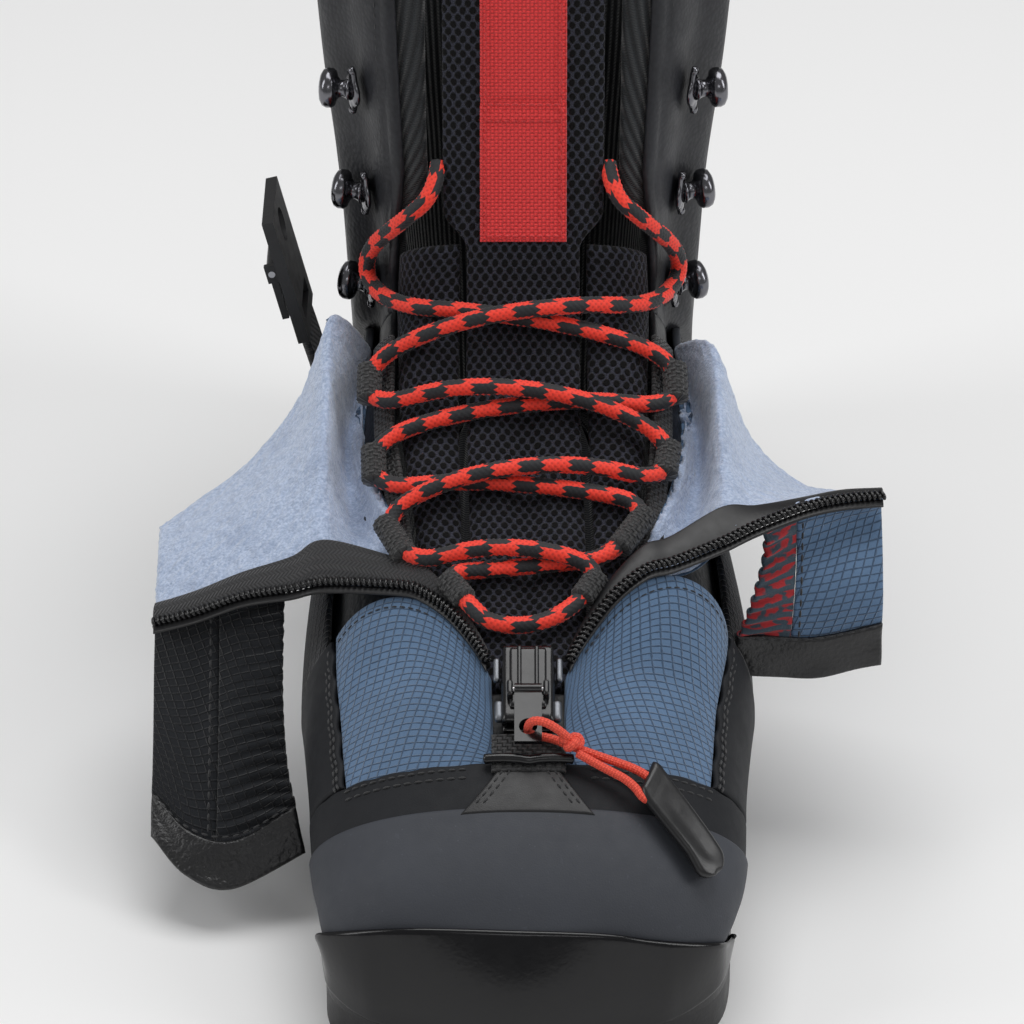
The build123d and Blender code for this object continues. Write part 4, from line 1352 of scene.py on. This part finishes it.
def gather(u, v, rows, columns):
    """Close ridges across the gathered cloth, dying away at its outer edge."""
    ridges = 0.85 * np.sin(rows * 2 * math.pi / 3.6 + 1.2 * np.sin(columns / 4.0))
    return ridges * np.clip(1 - v / 1.15, 0, 1)


RIGHT_LIFT = (3.4, 3.2, 3.4, 2.4, 0.0)    # raises the right zip edge above the CAD's, judged
for (name, side), flap, shell in zip(SIDES, (LEFT_FLAP, RIGHT_FLAP), (LEFT_SHELL, RIGHT_SHELL)):
    body = "flap_" + name
    flap_net = sections(flap)[:, ::-1].copy()
    if side > 0:
        flap_net[:, 0, 2] += RIGHT_LIFT
    inner = np.array([over(side * x, s, 0.2) for x, s in ((25.0, 3.62), (39.4, 4.6), (41.5, 6.5))])
    root = form(np.array([3.80, 5.15, 6.62]), side * np.array([0.31, 0.455, 0.455]), 0.2)
    root[0, 2] += 4.0 if side > 0 else 0.0
    control = np.concatenate([inner[None], root[None], flap_net])
    cloth = net(control)

    def fleece_relief(u, v, rows, columns):
        soft = 0.9 * ripple(rows / 15, columns / 17, 21 + side) * np.clip(v * 2, 0, 1)
        pile = 0.22 * ripple(rows / 1.3, columns / 1.5, 23) + 0.16 * ripple(rows / 0.7, columns / 0.8, 25)
        return soft + pile
    fleece = panel("fleece_" + name, cloth, (0, 0, 1), FLEECE, (75, 100), thickness=2.0, count=(150, 180),
                   roll=1.6, relief=fleece_relief, body=None, slot="fleece",
                   replaces=["flap_fleece_" + name, "gaiter_root_" + name])
    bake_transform(fleece)

    def backing_relief(u, v, rows, columns):
        return -1.6 + 0.9 * ripple(rows / 15, columns / 17, 21 + side) * np.clip(v * 2, 0, 1)
    backing = panel("gaiter_outer_" + name, cloth, (0, 0, 1), SOFTSHELL, (75, 100), thickness=0.9,
                    count=(90, 110), roll=0.8, relief=backing_relief, body=None, slot="softshell")
    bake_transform(backing)

    g = np.array([0.055, 0.08, 0.115, 0.16, 0.21]) * side
    s = zip_edge(g) + 0.03
    rise = zip_rise(s) * RISE[side]
    low = form(s, g, -0.9 - rise)
    front = flap_net[:, 0] + (0.0, -2.2, 0.3)
    chain_path = smooth_line(np.concatenate([low, front]), 16)
    inner_low = form(s + 0.03 + 0.19 * np.clip(np.abs(g) * 6, 0.2, 1), g * 0.95, -0.2 - rise * 0.98)
    inner_front = cloth(np.full(5, 0.13), np.linspace(1 / 3, 1.0, 5)) + (0.0, 0.0, 1.4 if side > 0 else 0.5)
    tape_path = smooth_line(np.concatenate([inner_low, inner_front]), 16)
    facing = GLOSS_FABRIC if side > 0 else TAPE
    tape = panel("zip_tape_" + name, between_lines(chain_path - (0, 0, 0.5), tape_path), (0, -0.5, 1), facing,
                 (120, 9), thickness=1.0, count=(150, 16), roll=0.5, body=None, slot="zip",
                 relief=tape_relief,
                 replaces=["flap_zip_chain_" + name] + (["zip_tapes"] if side < 0 else []))
    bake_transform(tape)
    chain = Heap()
    wire, wire_at = resample(coil(chain_path, 1.15, 0.75, 1.45), 0.3)
    chain.add(*tube(wire, wire_at, 0.42, 6))
    core, core_at = resample(chain_path - (0, 0, 0.2), 1.0)
    chain.add(*tube(core, core_at, 0.75, 8))
    chain = chain.done("zip_coil_" + name, COIL, body=None, slot="zip")
    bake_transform(chain)
    edge_place = between_lines(chain_path + (0, -2.6, -1.6), chain_path + (0, -0.3, -0.9))
    edge = panel("zip_edge_" + name, edge_place, (0, -0.7, 0.7), GLOSS_FABRIC, (120, 3), thickness=0.8,
                 count=(120, 6), roll=0.35, body=None, slot="zip")
    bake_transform(edge)

    hanging = sections(shell)
    edge_x = np.abs(flap_net[:, 0, 0])
    at_edge = [np.interp(np.abs(hanging[:, 0, 0]), edge_x, flap_net[:, 0, k]) for k in (1, 2)]
    top_row = np.stack([hanging[:, 0, 0], at_edge[0] - 2.6, at_edge[1] - 1.6], -1)
    hanging = np.concatenate([top_row[:, None], hanging], axis=1)
    curl = ((np.abs(hanging[:, 0, 0]) - 75.0) / 17.0) ** 2 * (8.0 if side < 0 else 1.5)
    if side < 0:
        hanging[0, -2:, 0] += (2.0, 5.0)
    else:
        hanging[0, 1:, 0] -= np.linspace(0.0, 7.5, hanging.shape[1] - 1)
    fall = unit(hanging[:, -1] - hanging[:, -2])
    hanging[:, -1] -= fall * curl[:, None]
    hanging[:, -2] -= fall * curl[:, None] * 0.5
    inner_share = 0.36 if side > 0 else 0.45

    shell_surface = net(hanging)
    # On the left flap the elastic and the lower panel take the near-black softshell: painted shade in place
    # of the blue cloth and its red stripes.
    elastic = panel("flap_elastic_" + name, lambda u, v: shell_surface(u, v * inner_share),
                    (0, -1, 0.3), SHIRRED if side > 0 else SOFTSHELL_BLACK_AND_SHADE, (45, 16), thickness=1.6,
                    count=(90, 30), roll=0.8, relief=gather, body=body, slot="softshell",
                    replaces=["flap_shell_" + name])
    lower = panel("flap_panel_" + name, lambda u, v: shell_surface(u, inner_share + v * (1 - inner_share)),
                  (0, -1, 0.3), SOFTSHELL if side > 0 else SOFTSHELL_BLACK_AND_SHADE, (45, 22), thickness=1.6,
                  count=(60, 30), roll=0.8, relief=uneven(0.9, 9, 8, 41 + side), body=body, slot="softshell")
    step = unit(hanging[:, -1] - hanging[:, -2])
    over_edge = hanging[:, -1] + (0, -1.3, 0.2)
    band_net = np.stack([over_edge - step * 1.6, over_edge + step * 4.5, over_edge + step * 10.5], 1)
    band = panel("flap_collar_band_" + name, net(band_net), (0, -1, 0.3), BAND, (11, 32), thickness=2.0,
                 count=(20, 60), roll=0.9, body=body, slot="band", replaces=["collar_band_" + name],
                 relief=uneven(0.6, 3, 3.5, 44))
    flap_threads = Heap()
    for line in (shell_surface(np.full(40, 0.96), np.linspace(0.03, 0.97, 40)),
                 shell_surface(np.linspace(0.05, 0.95, 40), np.full(40, inner_share + 0.05))):
        stitch(flap_threads, line + (0, -1.0, 0.3), (0, -0.9, 0.4), length=1.8, gap=0.9, width=0.6)
    flap_threads.done("flap_stitching_" + name, THREAD, body=body, slot="softshell")


# ---- zip slider ----
def rounded_box(size, radius, cells=6):
    """Box with rounded edges, about its middle."""
    half = np.array(size, float) / 2
    radius = min(radius, half.min() * 0.999)
    t = np.concatenate([np.linspace(-1, -0.8, 3), np.linspace(-0.5, 0.5, cells - 3), np.linspace(0.8, 1, 3)])
    points, faces, found = [], [], {}
    for axis in range(3):
        for sign in (-1, 1):
            rows = []
            for a in t:
                row = []
                for b in t:
                    p = np.zeros(3)
                    p[axis], p[(axis + 1) % 3], p[(axis + 2) % 3] = sign, a, b
                    key = tuple(np.round(p, 4))
                    if key not in found:
                        found[key] = len(points)
                        p = p * half
                        core = np.clip(p, -(half - radius), half - radius)
                        away = p - core
                        size_away = np.linalg.norm(away)
                        points.append(core + away / max(size_away, 1e-9) * radius if size_away > 1e-9 else p)
                    row.append(found[key])
                rows.append(row)
            grid = quads(np.array(rows))
            faces += [tuple(f) for f in (grid if sign > 0 else grid[:, ::-1])]
    return np.array(points), faces


# The slider's axes: across, along the zip, and out of it.
SLIDER = np.eye(4)
SLIDER[:3, 2] = unit(np.array((0, -0.424, 0.905)))
SLIDER[:3, 0] = (1, 0, 0)
SLIDER[:3, 1] = np.cross(SLIDER[:3, 2], SLIDER[:3, 0])
SLIDER[:3, 3] = (1, -91, 70.5)
slider = Heap()
stops_mesh = Heap()


def slider_part(heap, size, radius, centre):
    points, faces = rounded_box(size, radius)
    heap.add(local(SLIDER, points + centre), faces)


slider_part(slider, (12.4, 21.5, 1.9), 0.9, (0, 0, 2.5))
slider_part(slider, (12.4, 21.5, 1.6), 0.7, (0, 0, -2.4))
slider_part(slider, (2.6, 5.4, 4.4), 0.5, (0, 7, 0))
slider_part(slider, (9.0, 17.0, 1.3), 0.6, (0, 1.0, 3.7))
for side in (-1, 1):
    slider_part(slider, (1.1, 15.5, 1.6), 0.5, (side * 2.1, 1.8, 4.7))
    slider_part(slider, (1.5, 4.4, 3.6), 0.6, (side * 4.4, -3.0, 4.4))
    slider_part(slider, (1.5, 16.0, 3.4), 0.6, (side * 5.7, -2.0, 0.3))
    slider_part(stops_mesh, (2.2, 5.6, 2.4), 0.9, (side * 7.0, -7.0, 1.0))
    slider_part(stops_mesh, (1.6, 6.6, 1.8), 0.7, (side * 7.6, 4.6, 1.2))
slider.done("zip_slider_body", SLIDER_PAINT, body="zip_slider", slot="slider_metal", replaces=["slider_body"])
stops_mesh.done("zip_end_stops", SILVER, body="zip_slider", slot="steel")


# ---- strap and heel loop ----
lean = math.radians(-14)
STRAP = np.eye(4)
STRAP[:3, 0] = (math.cos(lean), 0, -math.sin(lean))
STRAP[:3, 2] = (math.sin(lean), 0, math.cos(lean))
STRAP[:3, 3] = (-48.6, 46, 64)


def strap_place(u, v):
    local_points = np.stack([-1.2 + 0.4 * np.sin(u * math.pi), (v - 0.5) * 20, -7.0 + u * 41.5], -1)
    return local_points @ STRAP[:3, :3].T + STRAP[:3, 3]


panel("ankle_strap_webbing", strap_place, (-1, 0, 0), BLACK_WEB, (41, 20), thickness=2.2, count=(60, 34),
      roll=0.7, relief=uneven(0.15, 6, 7, 51), body="ankle_strap",
      slot="webbing_black", replaces=["strap_webbing"])
loop_path = smooth_line(((0, 132.6, 161.5), (0, 136.5, 162.4), (0, 141.2, 163.6), (0, 143.0, 167.5),
                         (0, 143.3, 180.0), (0, 143.0, 192.5), (0, 141.2, 196.4), (0, 136.5, 197.4),
                         (0, 130.6, 197.8)), 10)
panel("heel_pull_webbing", between_lines(loop_path - (9, 0, 0), loop_path + (9, 0, 0)), (0, 1, 0), BLACK_WEB,
      (46, 18), thickness=1.5, count=(80, 30), roll=0.5, slot="webbing_black", replaces=["heel_pull_loop"])

threads.done("panel_stitching", THREAD, slot="overlay")
blue_threads.done("softshell_stitching", THREAD_BLUE, slot="softshell")

for node, finish in (("outsole", SOLE_RUBBER), ("midsole", MIDSOLE), ("toe_bar", STEEL),
                     ("insole_board", BOARD), ("pull_pin", STEEL), ("pull_tab", SLIDER_PAINT),
                     ("strap_rivet", HOOK_METAL), ("buckle_frame", PLASTIC), ("buckle_pin", STEEL),
                     ("buckle_lever", PLASTIC)):
    for material_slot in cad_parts[node].material_slots:
        material_slot.material = finish


# ---- studio ----
floor_data = bpy.data.meshes.new("floor")
FLOOR = 3.0
floor_corners = [(-FLOOR, -FLOOR, 0), (FLOOR, -FLOOR, 0), (FLOOR, FLOOR, 0), (-FLOOR, FLOOR, 0)]
floor_data.from_pydata(floor_corners, [], [(0, 1, 2, 3)])
floor_paint = Finish("studio_floor", (0.92, 0.92, 0.92), 0.9)
floor_data.materials.append(floor_paint.material)
floor = bpy.data.objects.new("floor", floor_data)
bpy.context.scene.collection.objects.link(floor)


def softbox(name, place, size, power, target=(0, -0.03, 0.08)):
    light = bpy.data.lights.new(name, "AREA")
    light.shape = "RECTANGLE"
    light.size, light.size_y = size
    light.energy = power
    obj = bpy.data.objects.new(name, light)
    away = np.array(place, float) - np.array(target, float)
    z = away / np.linalg.norm(away)
    x = np.cross((0, 0, 1), z)
    x = x / np.linalg.norm(x)
    y = np.cross(z, x)
    rows = [(*row, p) for row, p in zip(np.stack([x, y, z], 1).tolist(), place)]
    obj.matrix_world = Matrix(rows + [(0, 0, 0, 1)])
    bpy.context.scene.collection.objects.link(obj)


softbox("top_light", (0.1, 0.25, 1.3), (1.0, 0.8), 9, (0, -0.02, 0.08))
softbox("left_light", (-1.1, -0.25, 0.75), (0.35, 0.9), 4.2)
softbox("right_light", (1.1, -0.35, 0.8), (0.35, 0.9), 5.0)
softbox("front_fill", (0.1, -1.4, 1.0), (0.6, 0.25), 1.2)
world = bpy.data.worlds.new("studio")
world.use_nodes = True
background = world.node_tree.nodes["Background"]
background.inputs[0].default_value = (1, 1, 1, 1)
background.inputs[1].default_value = 0.26
bpy.context.scene.world = world
bpy.context.scene.view_settings.view_transform = "Standard"


def corners(box):
    return [[float(k) for k in corner] for corner in box]
